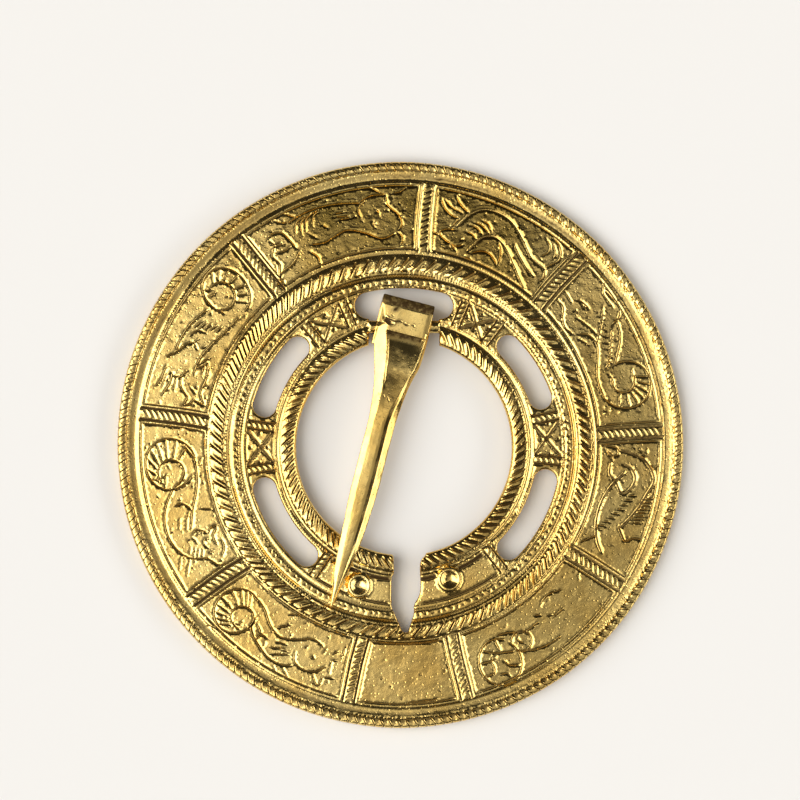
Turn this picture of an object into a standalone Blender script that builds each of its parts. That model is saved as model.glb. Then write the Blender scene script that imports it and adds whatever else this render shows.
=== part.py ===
"""Penannular brooch in cast brass: a ring-shaped plate with a slit in it, and a swinging pin.

Two pieces:
  disc  the cast plate, with a milled rim, two ropework rings, nine panels of engraved beasts
        parted by roped bars, five kidney slots, two bosses, and a slit below the centre
  pin   a faceted spike whose flat head is rolled round the top of the disc's inner ring

Run with: blender --background --python part.py
Metres, +Z up. The origin lies under the middle of the round outline, on the rim's flat foot.
The disc is built flat and round its inner ring, and then bent into its low dome by settle().
"""
import math

import bmesh
import bpy
from mathutils import Matrix, Vector

MM = 0.001

# The plate, before it is domed. At its bends, rings of edges let it follow the dome
RIM_RADIUS = 40.0 * MM
RIM_INNER_RADIUS = 38.35 * MM
RIM_TAPER = 0.15 * MM
PLATE_BOTTOM = 0.4 * MM
PLATE_TOP = 1.7 * MM
ROPE_HEIGHT = 0.5 * MM
COVE_RADIUS = 37.4 * MM
COVE_DEPTH = 0.3 * MM
BURIED = 0.5 * MM
PLATE_STEPS = 64
TOP_BENDS = (26.0 * MM, 31.0 * MM, 34.3 * MM)
BACK_BEND = 28.0 * MM
FLAT_ANGLE = math.radians(0.5)
SHARP_ANGLE = math.radians(25.0)
CUT_BELOW = -1.0 * MM
CUT_ABOVE = 4.0 * MM

# The dome, and how far the inner ring lies off the middle of the outline
DOME_HEIGHT = 1.2 * MM
RING_OFFSET = Vector((0.41, -0.42)) * MM
OFFSET_FULL_RADIUS = 23.0 * MM
OFFSET_GONE_RADIUS = 32.5 * MM

# Ropework rings: inner radius, outer radius, number of strands, and how far they lean
HOLE_RADIUS = 15.24 * MM
INNER_ROPE = (15.35 * MM, 17.95 * MM, 84, 0.8)
MIDDLE_ROPE = (24.0 * MM, 27.1 * MM, 116, -1.2)
RIM_ROPE = (38.45 * MM, 39.85 * MM, 84, -0.4)
STRAND_DEPTH = 0.4 * MM

# The nine panels: the angles of the roped bars between them
PANEL_MIDDLE_RADIUS = 32.35 * MM
DIVIDER_ANGLES = (173.2, 128.7, 83.9, 46.0, 3.0, -32.6, -75.4, -101.6, -143.2)
DIVIDER_INNER = 27.3 * MM
DIVIDER_OUTER = 37.3 * MM
DIVIDER_WIDTH = 1.25 * MM
DIVIDER_HEIGHT = 0.25 * MM
DIVIDER_STRANDS = 8
STROKE_RADIUS = 0.26 * MM
STROKE_LIFT = 0.06 * MM

# Kidney slots in the inner ring, as (first and last angle in degrees, inner and outer radius in
# millimetres): the first is behind the pin's head. Crossed bridges lie between them
SLOT_STEP_DEGREES = 8.0
SLOT_END_TURNS = (36.0, 72.0, 108.0, 144.0)
SLOTS = (
    (70.5, 109.4, 18.75, 22.5), (132.4, 168.1, 18.85, 22.15), (-167.8, -127.6, 18.85, 22.15),
    (-48.5, -8.7, 18.85, 22.2), (15.4, 48.6, 18.85, 22.15),
)
BRIDGES = ((109.4, 132.4), (168.1, 192.2), (-8.7, 15.4), (48.6, 70.5))
LONE_BARS = (-125.2, -50.8)
BAR_INSET_DEGREES = 3.6
BAR_INNER = 18.85 * MM
BAR_OUTER = 22.3 * MM
BAR_WIDTH = 0.5 * MM
BAR_HEIGHT = 0.25 * MM
BAR_STRANDS = 2
BAR_LEAN = -0.45
CROSS_INSET_DEGREES = 6.1
CROSS_INNER = 19.05 * MM
CROSS_OUTER = 22.2 * MM
CROSS_RADIUS = 0.36 * MM

# Bosses beside the slit, as (radius, angle) of their middles
BOSSES = ((20.5 * MM, -107.9), (19.7 * MM, -71.0))
BOSS_SIDES = 16
# Their profile, as (radius, height over the plate): a dish inside a rounded collar
BOSS_PROFILE = (
    (0.0, 0.05 * MM), (0.75 * MM, 0.12 * MM), (1.15 * MM, 0.4 * MM), (1.5 * MM, 0.5 * MM),
    (1.9 * MM, 0.2 * MM),
)

# The slit's outline, in millimetres round the inner ring's centre
SLIT_OUTLINE = (
    (-1.7, -14.0), (-1.45, -17.8), (-1.75, -18.5), (-1.75, -22.3), (-1.3, -23.5),
    (-0.4, -25.5), (-0.2, -26.0), (0.7, -26.1), (1.05, -24.7), (1.4, -23.5),
    (1.45, -22.3), (2.15, -20.9), (2.35, -19.6), (2.3, -16.4), (3.0, -15.2), (3.2, -14.0),
)

# The round neck that the pin turns on: its middle is where the hinge axis runs, along X
NECK_RING_RADIUS = 17.0 * MM
NECK_HALF_LENGTH = 5.0 * MM
NECK_RADIUS = 0.88 * MM
NECK_HEIGHT = 1.3 * MM
NECK_SIDES = 16
NECK_GAP_INNER = 13.74 * MM
NECK_GAP_OUTER = 19.55 * MM

# The pin, in its own frame: U runs from the hinge axis to the tip, W away from the disc
PIN_TURN_DEGREES = 14.2
HEAD_TOP = -3.79 * MM
HEAD_HEIGHT = 2.28 * MM
HEAD_LEFT = -3.9 * MM
HEAD_RIGHT = 3.5 * MM
LOOP_UPPER = 1.2 * MM
LOOP_LOWER = -1.2 * MM
LOOP_START = -2.65 * MM
LOOP_END = 2.4 * MM
BACK_STRAP_HEIGHT = -1.9 * MM
BACK_STRAP_END = 3.4 * MM
ROLL_RADIUS = 0.8 * MM
ROLL_STEPS = 5
BACK_ROLL_RADIUS = 0.8 * MM
BACK_ROLL_STEPS = 3
STRAP_END_RADIUS = 0.6 * MM
STRAP_END_STEPS = 2
SHANK_BOTTOM = 1.15 * MM
BAND_CLEARANCE = 0.15 * MM
# Where the band's top slopes down inside the shank, as (U, W)
BAND_SLOPE = ((3.4 * MM, 1.55 * MM), (1.0 * MM, 1.75 * MM), (0.2 * MM, 2.28 * MM))

# Sections of the pin, in millimetres: U, then (V, W) of the left edge, left ridge, left and
# right of the flat, right ridge, right flank and right edge. The underside is flat.
PIN_SECTIONS = (
    (-2.4, (-4.00, 1.60), (-3.65, 2.32), (-3.0, 2.36), (2.8, 2.36), (3.05, 2.32), (3.30, 2.10), (3.55, 1.60)),
    (1.10, (-3.83, 1.55), (-2.40, 2.30), (-2.1, 2.34), (2.8, 2.34), (3.10, 2.30), (3.40, 2.10), (3.69, 1.60)),
    (1.25, (-3.82, 1.55), (-2.35, 2.30), (-2.1, 1.80), (3.0, 1.80), (3.15, 2.10), (3.42, 1.95), (3.69, 1.60)),
    (3.27, (-3.60, 1.55), (-1.75, 2.42), (-1.5, 2.18), (2.9, 2.18), (3.10, 2.32), (3.40, 2.05), (3.66, 1.65)),
    (5.0, (-3.19, 1.72), (-1.40, 2.58), (-1.15, 2.36), (2.6, 2.36), (2.85, 2.46), (3.2, 2.15), (3.55, 1.70)),
    (7.5, (-2.52, 1.95), (-1.10, 2.68), (-0.80, 2.50), (1.9, 2.50), (2.15, 2.56), (2.5, 2.30), (2.92, 1.80)),
    (9.6, (-2.13, 2.12), (-0.95, 2.76), (-0.45, 2.64), (1.25, 2.64), (1.5, 2.66), (2.05, 2.40), (2.56, 1.90)),
    (12.2, (-1.85, 2.25), (-0.92, 2.82), (0.0, 2.80), (0.45, 2.80), (0.85, 2.80), (1.45, 2.58), (2.28, 1.95)),
    (14.2, (-1.75, 2.35), (-1.00, 2.80), (-0.4, 2.84), (0.3, 2.84), (0.66, 2.80), (1.20, 2.62), (2.14, 1.98)),
    (22.7, (-1.79, 2.28), (-1.02, 2.73), (-0.4, 2.77), (0.3, 2.77), (0.70, 2.73), (1.22, 2.55), (2.11, 1.92)),
    (29.8, (-1.53, 2.10), (-0.85, 2.52), (-0.4, 2.56), (0.2, 2.56), (0.55, 2.52), (0.98, 2.36), (1.72, 1.85)),
    (35.5, (-1.24, 1.88), (-0.68, 2.24), (-0.5, 2.26), (0.0, 2.26), (0.20, 2.24), (0.42, 2.10), (0.85, 1.72)),
    (39.6, (-0.62, 1.42), (-0.5, 1.62), (-0.4, 1.66), (-0.2, 1.66), (-0.1, 1.62), (-0.05, 1.5), (0.05, 1.35)),
    (40.9, (-.42, 1.25), (-.4, 1.32), (-.36, 1.34), (-.3, 1.34), (-.26, 1.32), (-.24, 1.28), (-.2, 1.25)),
)
EDGE_INSET = 0.2 * MM

# Engraved beasts, in millimetres from the middle of their panel: X clockwise, Y outward.
# A coiled tail is an outer oval and an inner circle, (x, y, half width, half height).
COILS = {
    150.95: ((6.9, 0.2, 2.9, 3.7), (5.9, 0.4, 1.95, 1.9)),
    195.0: ((5.6, 0.2, 3.55, 3.5), (4.4, 0.3, 1.85, 1.8)),
    -122.4: ((6.9, 0.6, 2.85, 3.3), (5.6, 0.8, 1.6, 1.6)),
    -54.0: ((6.5, 1.4, 2.85, 3.3), (5.5, 1.9, 1.4, 1.4)),
    24.5: ((5.4, 0.5, 3.25, 3.55), (4.8, 0.4, 1.7, 1.7)),
}
STROKES = {
    150.95: (
        ((-4.9, 3.0), (-3.8, 1.9), (-1.6, 2.1), (0.7, 1.7), (3.7, 0.7)),
        ((-6.1, -1.6), (-3.3, -1.6), (2.2, -3.0), (5.6, -3.3)),
        ((-3.8, 1.9), (-1.8, 0.6), (-2.4, -0.7)),
        ((-9.0, 3.3), (-7.4, 2.5), (-4.9, 3.0)),
        ((-9.7, 2.0), (-7.1, 1.3), (-6.9, 0.1), (-8.6, -0.5), (-9.4, -1.6)),
        ((-9.4, -1.6), (-10.8, -0.9), (-9.6, -2.5), (-10.1, -4.1), (-8.3, -3.2), (-4.0, -3.3)),
    ),
    195.0: (
        ((-11.0, -2.3), (-8.7, -0.7), (-7.6, 1.4), (-5.7, 2.5), (-3.4, 2.9), (-0.7, 2.3), (2.3, 0.2)),
        ((-3.9, -0.6), (1.1, -2.8), (4.3, -3.3)),
        ((-9.6, -2.7), (-8.7, -3.5), (-7.4, -3.8)),
        ((-0.1, 0.6), (-0.3, -0.6), (-1.3, -1.5)),
        ((-4.9, -0.3), (-4.5, -1.0), (-5.4, -2.3)),
    ),
    -122.4: (
        ((-7.7, 0.7), (-6.8, 1.8), (-5.2, 2.3), (-3.0, 0.4)),
        ((-3.5, 2.4), (-2.2, 3.0), (-0.3, 3.0), (1.6, 2.3), (4.1, 0.9)),
        ((-6.5, -1.8), (-4.7, -2.2), (-0.3, -0.3), (4.0, -2.2), (5.6, -2.6)),
        ((-7.9, 2.4), (-7.5, 3.6), (-6.5, 2.4)),
        ((0.9, -1.1), (-0.7, -2.6)),
    ),
    -54.0: (
        ((-2.2, 2.8), (1.5, 2.3), (3.9, 1.2)),
        ((-3.7, -0.8), (1.3, -0.8), (5.2, -1.9)),
    ),
    24.5: (
        ((-4.0, 4.0), (-3.0, 2.6), (-1.0, 2.4), (2.4, 0.1)),
        ((-4.6, -3.1), (-3.3, -1.6), (-1.5, -1.2), (2.5, -2.8), (4.4, -3.0)),
        ((-10.1, -2.2), (-8.9, -2.3), (-7.6, -3.3), (-4.8, -3.5)),
    ),
    106.3: (
        ((-6.2, 2.7), (-1.4, 3.0), (3.7, 2.2), (5.2, 3.0), (7.2, 3.0)),
        ((7.3, 3.0), (7.4, 1.5), (9.4, -1.1), (8.6, -2.3)),
        ((-6.7, -1.0), (-2.6, -1.9), (1.2, -1.2), (6.2, -3.2), (8.4, -2.5)),
        ((-9.5, 2.2), (-7.1, 1.8), (-6.6, -1.0)),
        ((-10.2, -0.3), (-11.3, -3.6), (-8.2, -2.8), (-6.2, -1.6)),
        ((3.5, 0.2), (3.4, 1.4), (4.4, 2.4)),
    ),
    64.95: (
        ((-6.9, -1.0), (-4.6, 1.8), (-3.1, 2.9), (0.8, 2.9), (5.7, -0.1), (8.1, -0.2)),
        ((-3.5, -3.7), (-1.9, -0.8), (-0.4, -0.1), (1.4, -0.6), (7.7, -4.3)),
        ((-8.9, 2.9), (-8.1, 1.6), (-6.1, 0.8)),
        ((-7.1, 3.8), (-6.3, 2.7), (-4.9, 1.8)),
        ((-6.9, -1.0), (-8.3, -1.9), (-6.6, -3.0), (-4.4, -2.7)),
        ((6.7, 3.8), (8.9, 2.1), (8.1, -0.2)),
        ((0.4, -0.4), (1.4, -1.8), (1.8, -3.5)),
    ),
    -14.8: (
        ((-7.6, -1.5), (-7.1, 0.4), (-6.2, 2.4), (-4.0, 3.8), (0.8, 2.1), (3.4, 0.7)),
        ((-5.5, -0.7), (-5.0, 0.4), (-3.7, 1.2), (-1.4, -0.5), (-3.9, -2.5), (-5.5, -2.6)),
        ((-4.4, -0.5), (-1.2, -2.5), (1.5, -2.9), (4.3, -2.5), (7.6, -0.1)),
        ((3.1, 0.4), (4.8, 2.0), (3.8, 4.1)),
    ),
}
COIL_START_DEGREES = -100.0
COIL_END_DEGREES = 170.0
COIL_STEP_DEGREES = 30.0
INNER_COIL_END_DEGREES = 110.0
RIB_ANGLES = (-60.0, -20.0, 20.0, 60.0, 100.0)
RIB_INNER_GAP = 0.15
RIB_OUTER_GAP = 0.12

BRASS_COLOUR = (0.72, 0.48, 0.16, 1.0)
BRASS_ROUGHNESS = 0.32


# ---------------------------------------------------------------- helpers

def clear_scene():
    for obj in list(bpy.data.objects):
        bpy.data.objects.remove(obj, do_unlink=True)


def new_collection(name):
    collection = bpy.data.collections.new(name)
    bpy.context.scene.collection.children.link(collection)
    return collection


def add_object(name, data, collection):
    obj = bpy.data.objects.new(name, data)
    collection.objects.link(obj)
    return obj


def evaluated_mesh(obj):
    """The object's mesh as the viewport shows it, with its seams welded."""
    mesh = bpy.data.meshes.new_from_object(obj.evaluated_get(bpy.context.evaluated_depsgraph_get()))
    work = bmesh.new()
    work.from_mesh(mesh)
    bmesh.ops.remove_doubles(work, verts=work.verts, dist=0.0005 * MM)
    bmesh.ops.recalc_face_normals(work, faces=work.faces)
    work.to_mesh(mesh)
    work.free()
    return mesh


def bake(obj):
    """Turn an object's modifiers into its mesh."""
    mesh = evaluated_mesh(obj)
    obj.modifiers.clear()
    obj.data = mesh


def bake_curve(curve_object, collection):
    """Replace a curve object by a closed mesh object of the same name."""
    name = curve_object.name
    mesh = evaluated_mesh(curve_object)
    matrix = curve_object.matrix_world.copy()
    bpy.data.objects.remove(curve_object, do_unlink=True)
    solid = add_object(name, mesh, collection)
    solid.matrix_world = matrix
    return solid


def turned(name, profile, steps, collection):
    """A profile of (radius, height) points turned round Z. It runs down its outer side."""
    closed = profile[0][0] > 0.0
    mesh = bpy.data.meshes.new(name)
    count = len(profile)
    edges = [(i, (i + 1) % count) for i in range(count if closed else count - 1)]
    mesh.from_pydata([(radius, 0.0, height) for radius, height in profile], edges, [])
    obj = add_object(name, mesh, collection)
    screw = obj.modifiers.new("Turn", "SCREW")
    screw.steps = steps
    screw.render_steps = steps
    screw.use_merge_vertices = True
    screw.merge_threshold = 0.00001
    bake(obj)
    return obj


def slab(name, outline, bottom, top, collection):
    """A flat outline of (x, y) points, extruded from one height to another."""
    curve = bpy.data.curves.new(name, "CURVE")
    curve.dimensions = "2D"
    curve.fill_mode = "BOTH"
    curve.extrude = (top - bottom) / 2
    spline = curve.splines.new("POLY")
    spline.points.add(len(outline) - 1)
    for point, (x, y) in zip(spline.points, outline):
        point.co = (x, y, 0.0, 1.0)
    spline.use_cyclic_u = True
    obj = add_object(name, curve, collection)
    obj.location.z = (top + bottom) / 2
    bpy.context.view_layer.update()
    return bake_curve(obj, collection)


def engraving(name, points, radius, collection):
    """A V-shaped cutter along a line: a four-sided tube whose lower edge is the groove."""
    curve = bpy.data.curves.new(name, "CURVE")
    curve.dimensions = "3D"
    curve.twist_mode = "Z_UP"
    curve.bevel_depth = radius
    curve.bevel_resolution = 0
    curve.use_fill_caps = True
    spline = curve.splines.new("POLY")
    spline.points.add(len(points) - 1)
    for point, (x, y) in zip(spline.points, points):
        point.co = (x, y, PLATE_TOP + STROKE_LIFT, 1.0)
    return bake_curve(add_object(name, curve, collection), collection)


def combine(obj, operation, collection):
    """Join or cut an object with everything in a collection, and use the collection up."""
    boolean = obj.modifiers.new(operation.title(), "BOOLEAN")
    boolean.operation = operation
    boolean.operand_type = "COLLECTION"
    boolean.collection = collection
    boolean.solver = "EXACT"
    bake(obj)
    for used in list(collection.objects):
        bpy.data.objects.remove(used, do_unlink=True)
    bpy.data.collections.remove(collection)


def polar(radius, degrees):
    angle = math.radians(degrees)
    return radius * math.cos(angle), radius * math.sin(angle)


def arc(radius, start, end, step):
    """Points of an arc round the origin, from one angle to another, in degrees."""
    count = max(2, round(abs(end - start) / step))
    return [polar(radius, start + (end - start) * i / count) for i in range(count + 1)]


def brass():
    material = bpy.data.materials.new("brass")
    material.use_nodes = True
    shader = material.node_tree.nodes["Principled BSDF"]
    shader.inputs["Base Color"].default_value = BRASS_COLOUR
    shader.inputs["Metallic"].default_value = 1.0
    shader.inputs["Roughness"].default_value = BRASS_ROUGHNESS
    return material


def finish(obj, material):
    obj.data.materials.clear()
    obj.data.materials.append(material)
    obj.data.shade_smooth()
    obj.data.set_sharp_from_angle(angle=SHARP_ANGLE)


# ---------------------------------------------------------------- the disc's raised work

def rope_ring(name, inner, outer, strands, lean, collection):
    """A low ridge on the plate, turned round Z, whose crest is pressed into leaning strands.

    Its feet lie in the plate's surface. Every second column of the crest is pressed down.
    """
    middle = (inner + outer) / 2
    section = (
        (middle, PLATE_TOP + ROPE_HEIGHT), (outer, PLATE_TOP), (outer, PLATE_TOP - BURIED),
        (inner, PLATE_TOP - BURIED), (inner, PLATE_TOP),
    )
    ring = turned(name, section, 2 * strands, collection)
    step = math.pi / strands
    for vertex in ring.data.vertices:
        radius = math.hypot(vertex.co.x, vertex.co.y)
        angle = math.atan2(vertex.co.y, vertex.co.x)
        if vertex.co.z > PLATE_TOP + STRAND_DEPTH and round(angle / step) % 2:
            vertex.co.z -= STRAND_DEPTH
        angle += lean * (radius - middle) / middle
        vertex.co.x = radius * math.cos(angle)
        vertex.co.y = radius * math.sin(angle)


def roped_bar(name, inner, outer, angle, width, height, strands, collection):
    """A radial ridge with slanting notches: a grid whose crest is pressed, closed below."""
    work = bmesh.new()
    columns = 2 * strands
    bmesh.ops.create_grid(work, x_segments=columns, y_segments=2, size=0.5)
    for vertex in work.verts:
        column = round((vertex.co.x + 0.5) * columns)
        row = round((vertex.co.y + 0.5) * 2)
        along = inner + (outer - inner) * column / columns
        lifted = row == 1 and column % 2 == 1
        lean = (row - 1) * BAR_LEAN * width if 0 < column < columns else 0.0
        vertex.co = (along + lean, (row - 1) * width / 2, PLATE_TOP + (height if lifted else 0.0))
    walls = bmesh.ops.extrude_edge_only(work, edges=[edge for edge in work.edges if edge.is_boundary])
    for element in walls["geom"]:
        if isinstance(element, bmesh.types.BMVert):
            element.co.z = PLATE_TOP - BURIED
    bmesh.ops.contextual_create(work, geom=[edge for edge in work.edges if edge.is_boundary])
    bmesh.ops.triangulate(work, faces=work.faces)
    bmesh.ops.recalc_face_normals(work, faces=work.faces)
    work.transform(Matrix.Rotation(math.radians(angle), 4, "Z"))
    mesh = bpy.data.meshes.new(name)
    work.to_mesh(mesh)
    work.free()
    return add_object(name, mesh, collection)


def boss(name, radius, angle, collection):
    """A round collar with a dished middle."""
    profile = [(r, PLATE_TOP + height) for r, height in BOSS_PROFILE]
    profile += [(profile[-1][0], PLATE_TOP - BURIED), (0.0, PLATE_TOP - BURIED)]
    collar = turned(name, profile, BOSS_SIDES, collection)
    x, y = polar(radius, angle)
    collar.data.transform(Matrix.Translation((x, y, 0.0)))


def raised_work():
    collection = new_collection("Raised work")
    rope_ring("InnerRope", *INNER_ROPE, collection)
    rope_ring("MiddleRope", *MIDDLE_ROPE, collection)
    rope_ring("RimRope", *RIM_ROPE, collection)
    for index, angle in enumerate(DIVIDER_ANGLES):
        roped_bar(f"Divider{index}", DIVIDER_INNER, DIVIDER_OUTER, angle, DIVIDER_WIDTH,
                  DIVIDER_HEIGHT, DIVIDER_STRANDS, collection)
    bars = list(LONE_BARS)
    for start, end in BRIDGES:
        bars += [start + BAR_INSET_DEGREES, end - BAR_INSET_DEGREES]
    for index, angle in enumerate(bars):
        roped_bar(f"Bar{index}", BAR_INNER, BAR_OUTER, angle, BAR_WIDTH,
                  BAR_HEIGHT, BAR_STRANDS, collection)
    for index, (radius, angle) in enumerate(BOSSES):
        boss(f"Boss{index}", radius, angle, collection)
    return collection


# ---------------------------------------------------------------- the disc's cuts

def kidney(start, end, inner, outer):
    """A slot along an arc, with round ends that reach the two angles."""
    middle = (inner + outer) / 2
    half_width = (outer - inner) / 2
    inset = math.degrees(half_width / middle)
    first, last = start + inset, end - inset
    outline = arc(outer, first, last, SLOT_STEP_DEGREES)
    for angle, heading in ((last, last), (first, first + 180.0)):
        x, y = polar(middle, angle)
        for turn in SLOT_END_TURNS:
            dx, dy = polar(half_width, heading + turn)
            outline.append((x + dx, y + dy))
        if angle == last:
            outline += arc(inner, last, first, SLOT_STEP_DEGREES)
    return outline


def panel_point(panel_angle, x, y):
    """A point of a panel's engraving: x mm clockwise and y mm outward of its middle."""
    radius = PANEL_MIDDLE_RADIUS + y * MM
    return polar(radius, panel_angle - math.degrees(x * MM / PANEL_MIDDLE_RADIUS))


def oval(x, y, half_width, half_height, start, end):
    """Points of an oval from one angle to another, counterclockwise."""
    count = round((end - start) / COIL_STEP_DEGREES)
    angles = [math.radians(start + (end - start) * i / count) for i in range(count + 1)]
    return [(x + half_width * math.cos(a), y + half_height * math.sin(a)) for a in angles]


def coil_strokes(outer, inner):
    """A ribbed tail that curls up: the outer oval, the inner circle and ribs between them."""
    strokes = [
        oval(*outer, COIL_START_DEGREES, COIL_END_DEGREES),
        oval(*inner, -COIL_END_DEGREES, INNER_COIL_END_DEGREES),
    ]
    for degrees in RIB_ANGLES:
        start = oval(*inner, degrees, degrees + COIL_STEP_DEGREES)[0]
        end = oval(*outer, degrees, degrees + COIL_STEP_DEGREES)[0]
        span = Vector(end) - Vector(start)
        rib = (Vector(start) + span * RIB_INNER_GAP, Vector(end) - span * RIB_OUTER_GAP)
        strokes.append(rib)
    return strokes


def engraved_beasts(collection):
    for panel_angle, strokes in STROKES.items():
        lines = list(strokes)
        if panel_angle in COILS:
            lines += coil_strokes(*COILS[panel_angle])
        for index, line in enumerate(lines):
            points = [panel_point(panel_angle, x, y) for x, y in line]
            engraving(f"Stroke{panel_angle}_{index}", points, STROKE_RADIUS, collection)


def crosses(collection):
    """The two crossed channels on each bridge between the slots."""
    for index, (start, end) in enumerate(BRIDGES):
        first, last = start + CROSS_INSET_DEGREES, end - CROSS_INSET_DEGREES
        rising = [polar(CROSS_INNER, first), polar(CROSS_OUTER, last)]
        falling = [polar(CROSS_OUTER, first), polar(CROSS_INNER, last)]
        engraving(f"CrossA{index}", rising, CROSS_RADIUS, collection)
        engraving(f"CrossB{index}", falling, CROSS_RADIUS, collection)


def cuts():
    collection = new_collection("Cuts")
    for index, (start, end, inner, outer) in enumerate(SLOTS):
        outline = kidney(start, end, inner * MM, outer * MM)
        slab(f"Slot{index}", outline, CUT_BELOW, CUT_ABOVE, collection)
    slit = [(x * MM, y * MM) for x, y in SLIT_OUTLINE]
    slab("Slit", slit, CUT_BELOW, CUT_ABOVE, collection)
    half = NECK_HALF_LENGTH
    gap = [(-half, NECK_GAP_INNER), (half, NECK_GAP_INNER), (half, NECK_GAP_OUTER), (-half, NECK_GAP_OUTER)]
    slab("NeckGap", gap, CUT_BELOW, CUT_ABOVE, collection)
    engraved_beasts(collection)
    crosses(collection)
    return collection


def neck():
    """The round bar that the pin turns on, across the gap in the inner ring."""
    collection = new_collection("Neck")
    work = bmesh.new()
    bmesh.ops.create_cone(work, cap_ends=True, segments=NECK_SIDES, radius1=NECK_RADIUS,
                          radius2=NECK_RADIUS, depth=2 * (NECK_HALF_LENGTH + BURIED))
    work.transform(Matrix.Translation((0.0, NECK_RING_RADIUS, NECK_HEIGHT))
                   @ Matrix.Rotation(math.radians(90.0), 4, "Y")
                   @ Matrix.Rotation(math.pi / NECK_SIDES, 4, "Z"))
    mesh = bpy.data.meshes.new("NeckBar")
    work.to_mesh(mesh)
    work.free()
    add_object("NeckBar", mesh, collection)
    return collection


def smooth_step(value, low, high):
    t = min(max((value - low) / (high - low), 0.0), 1.0)
    return t * t * (3.0 - 2.0 * t)


def settle(point):
    """Bend a point of the flat disc into the dome, and move the inner ring off centre."""
    radius = math.hypot(point.x, point.y)
    height = DOME_HEIGHT * max(0.0, 1.0 - (radius / RIM_INNER_RADIUS) ** 2)
    share = 1.0 - smooth_step(radius, OFFSET_FULL_RADIUS, OFFSET_GONE_RADIUS)
    return Vector((point.x + RING_OFFSET.x * share, point.y + RING_OFFSET.y * share, point.z + height))


def make_disc(collection, material):
    profile = [(radius, PLATE_TOP) for radius in (HOLE_RADIUS, *TOP_BENDS, COVE_RADIUS)]
    profile += [
        ((COVE_RADIUS + RIM_INNER_RADIUS) / 2, PLATE_TOP - COVE_DEPTH), (RIM_INNER_RADIUS, PLATE_TOP),
        (RIM_RADIUS, PLATE_TOP), (RIM_RADIUS - RIM_TAPER, 0.0), (RIM_INNER_RADIUS, 0.0),
        (RIM_INNER_RADIUS, PLATE_BOTTOM), (BACK_BEND, PLATE_BOTTOM), (HOLE_RADIUS, PLATE_BOTTOM),
    ]
    disc = turned("disc", profile, PLATE_STEPS, collection)
    combine(disc, "UNION", raised_work())
    combine(disc, "DIFFERENCE", cuts())
    combine(disc, "UNION", neck())
    work = bmesh.new()
    work.from_mesh(disc.data)
    bmesh.ops.dissolve_limit(work, angle_limit=FLAT_ANGLE, verts=work.verts, edges=work.edges)
    bmesh.ops.triangulate(work, faces=work.faces)
    for vertex in work.verts:
        vertex.co = settle(vertex.co)
    work.to_mesh(disc.data)
    work.free()
    finish(disc, material)
    return disc


# ---------------------------------------------------------------- the pin

def pin_spike(collection):
    """The head's flat and the faceted shank: a loft through the pin's sections."""
    work = bmesh.new()
    loops = []
    for section in PIN_SECTIONS:
        along = section[0] * MM
        points = [(v * MM, w * MM) for v, w in section[1:]]
        left, right = points[0][0], points[-1][0]
        inset = min(EDGE_INSET, (right - left) / 10)
        bottom = SHANK_BOTTOM + (BAND_CLEARANCE if along < LOOP_END else 0.0)
        points = [(left + inset, bottom)] + points + [(right - inset, bottom)]
        loops.append([work.verts.new((along, v, w)) for v, w in points])
    count = len(loops[0])
    for loop, following in zip(loops, loops[1:]):
        for i in range(count):
            j = (i + 1) % count
            work.faces.new((loop[i], loop[j], following[j], following[i]))
    work.faces.new(loops[0])
    work.faces.new(loops[-1])
    bmesh.ops.triangulate(work, faces=work.faces)
    bmesh.ops.recalc_face_normals(work, faces=work.faces)
    mesh = bpy.data.meshes.new("pin")
    work.to_mesh(mesh)
    work.free()
    return add_object("pin", mesh, collection)


def quarter_turn(corner_x, corner_y, radius, start, count):
    """Points that round off a corner by a quarter turn from the starting angle, in degrees."""
    middle = math.radians(start + 45.0)
    x = corner_x - radius * math.copysign(1.0, math.cos(middle))
    y = corner_y - radius * math.copysign(1.0, math.sin(middle))
    angles = [math.radians(start + 90.0 * i / count) for i in range(count + 1)]
    return [(x + radius * math.cos(a), y + radius * math.sin(a)) for a in angles]


def pin_loop():
    """The strap that is rolled round the ring: a band with an opening, seen from its side."""
    collection = new_collection("Loop")
    outer = quarter_turn(HEAD_TOP, HEAD_HEIGHT, ROLL_RADIUS, 90.0, ROLL_STEPS)
    outer += quarter_turn(HEAD_TOP, BACK_STRAP_HEIGHT, BACK_ROLL_RADIUS, 180.0, BACK_ROLL_STEPS)
    outer += quarter_turn(BACK_STRAP_END, BACK_STRAP_HEIGHT, STRAP_END_RADIUS, 270.0, STRAP_END_STEPS)
    outer += BAND_SLOPE
    band = slab("Band", outer, HEAD_LEFT, HEAD_RIGHT, collection)
    low, high = LOOP_LOWER, LOOP_UPPER
    opening = [(LOOP_START, low), (LOOP_END, low), (LOOP_END, high), (LOOP_START, high)]
    hollow = new_collection("Hollow")
    slab("Opening", opening, 2 * HEAD_LEFT, 2 * HEAD_RIGHT, hollow)
    combine(band, "DIFFERENCE", hollow)
    # The band was drawn in U and W and extruded along its own Z, which becomes V
    band.data.transform(band.matrix_world)
    band.matrix_world = Matrix.Identity(4)
    band.data.transform(Matrix(((1, 0, 0, 0), (0, 0, 1, 0), (0, 1, 0, 0), (0, 0, 0, 1))))
    band.data.flip_normals()
    return collection


def make_pin(collection, material):
    pin = pin_spike(collection)
    combine(pin, "UNION", pin_loop())
    work = bmesh.new()
    work.from_mesh(pin.data)
    bmesh.ops.triangulate(work, faces=work.faces)
    work.to_mesh(pin.data)
    work.free()
    pin.location = settle(Vector((0.0, NECK_RING_RADIUS, NECK_HEIGHT)))
    pin.rotation_euler.z = math.radians(-90.0 - PIN_TURN_DEGREES)
    finish(pin, material)
    return pin


def main():
    clear_scene()
    collection = new_collection("Penannular brooch")
    material = brass()
    make_disc(collection, material)
    make_pin(collection, material)


main()
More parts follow.
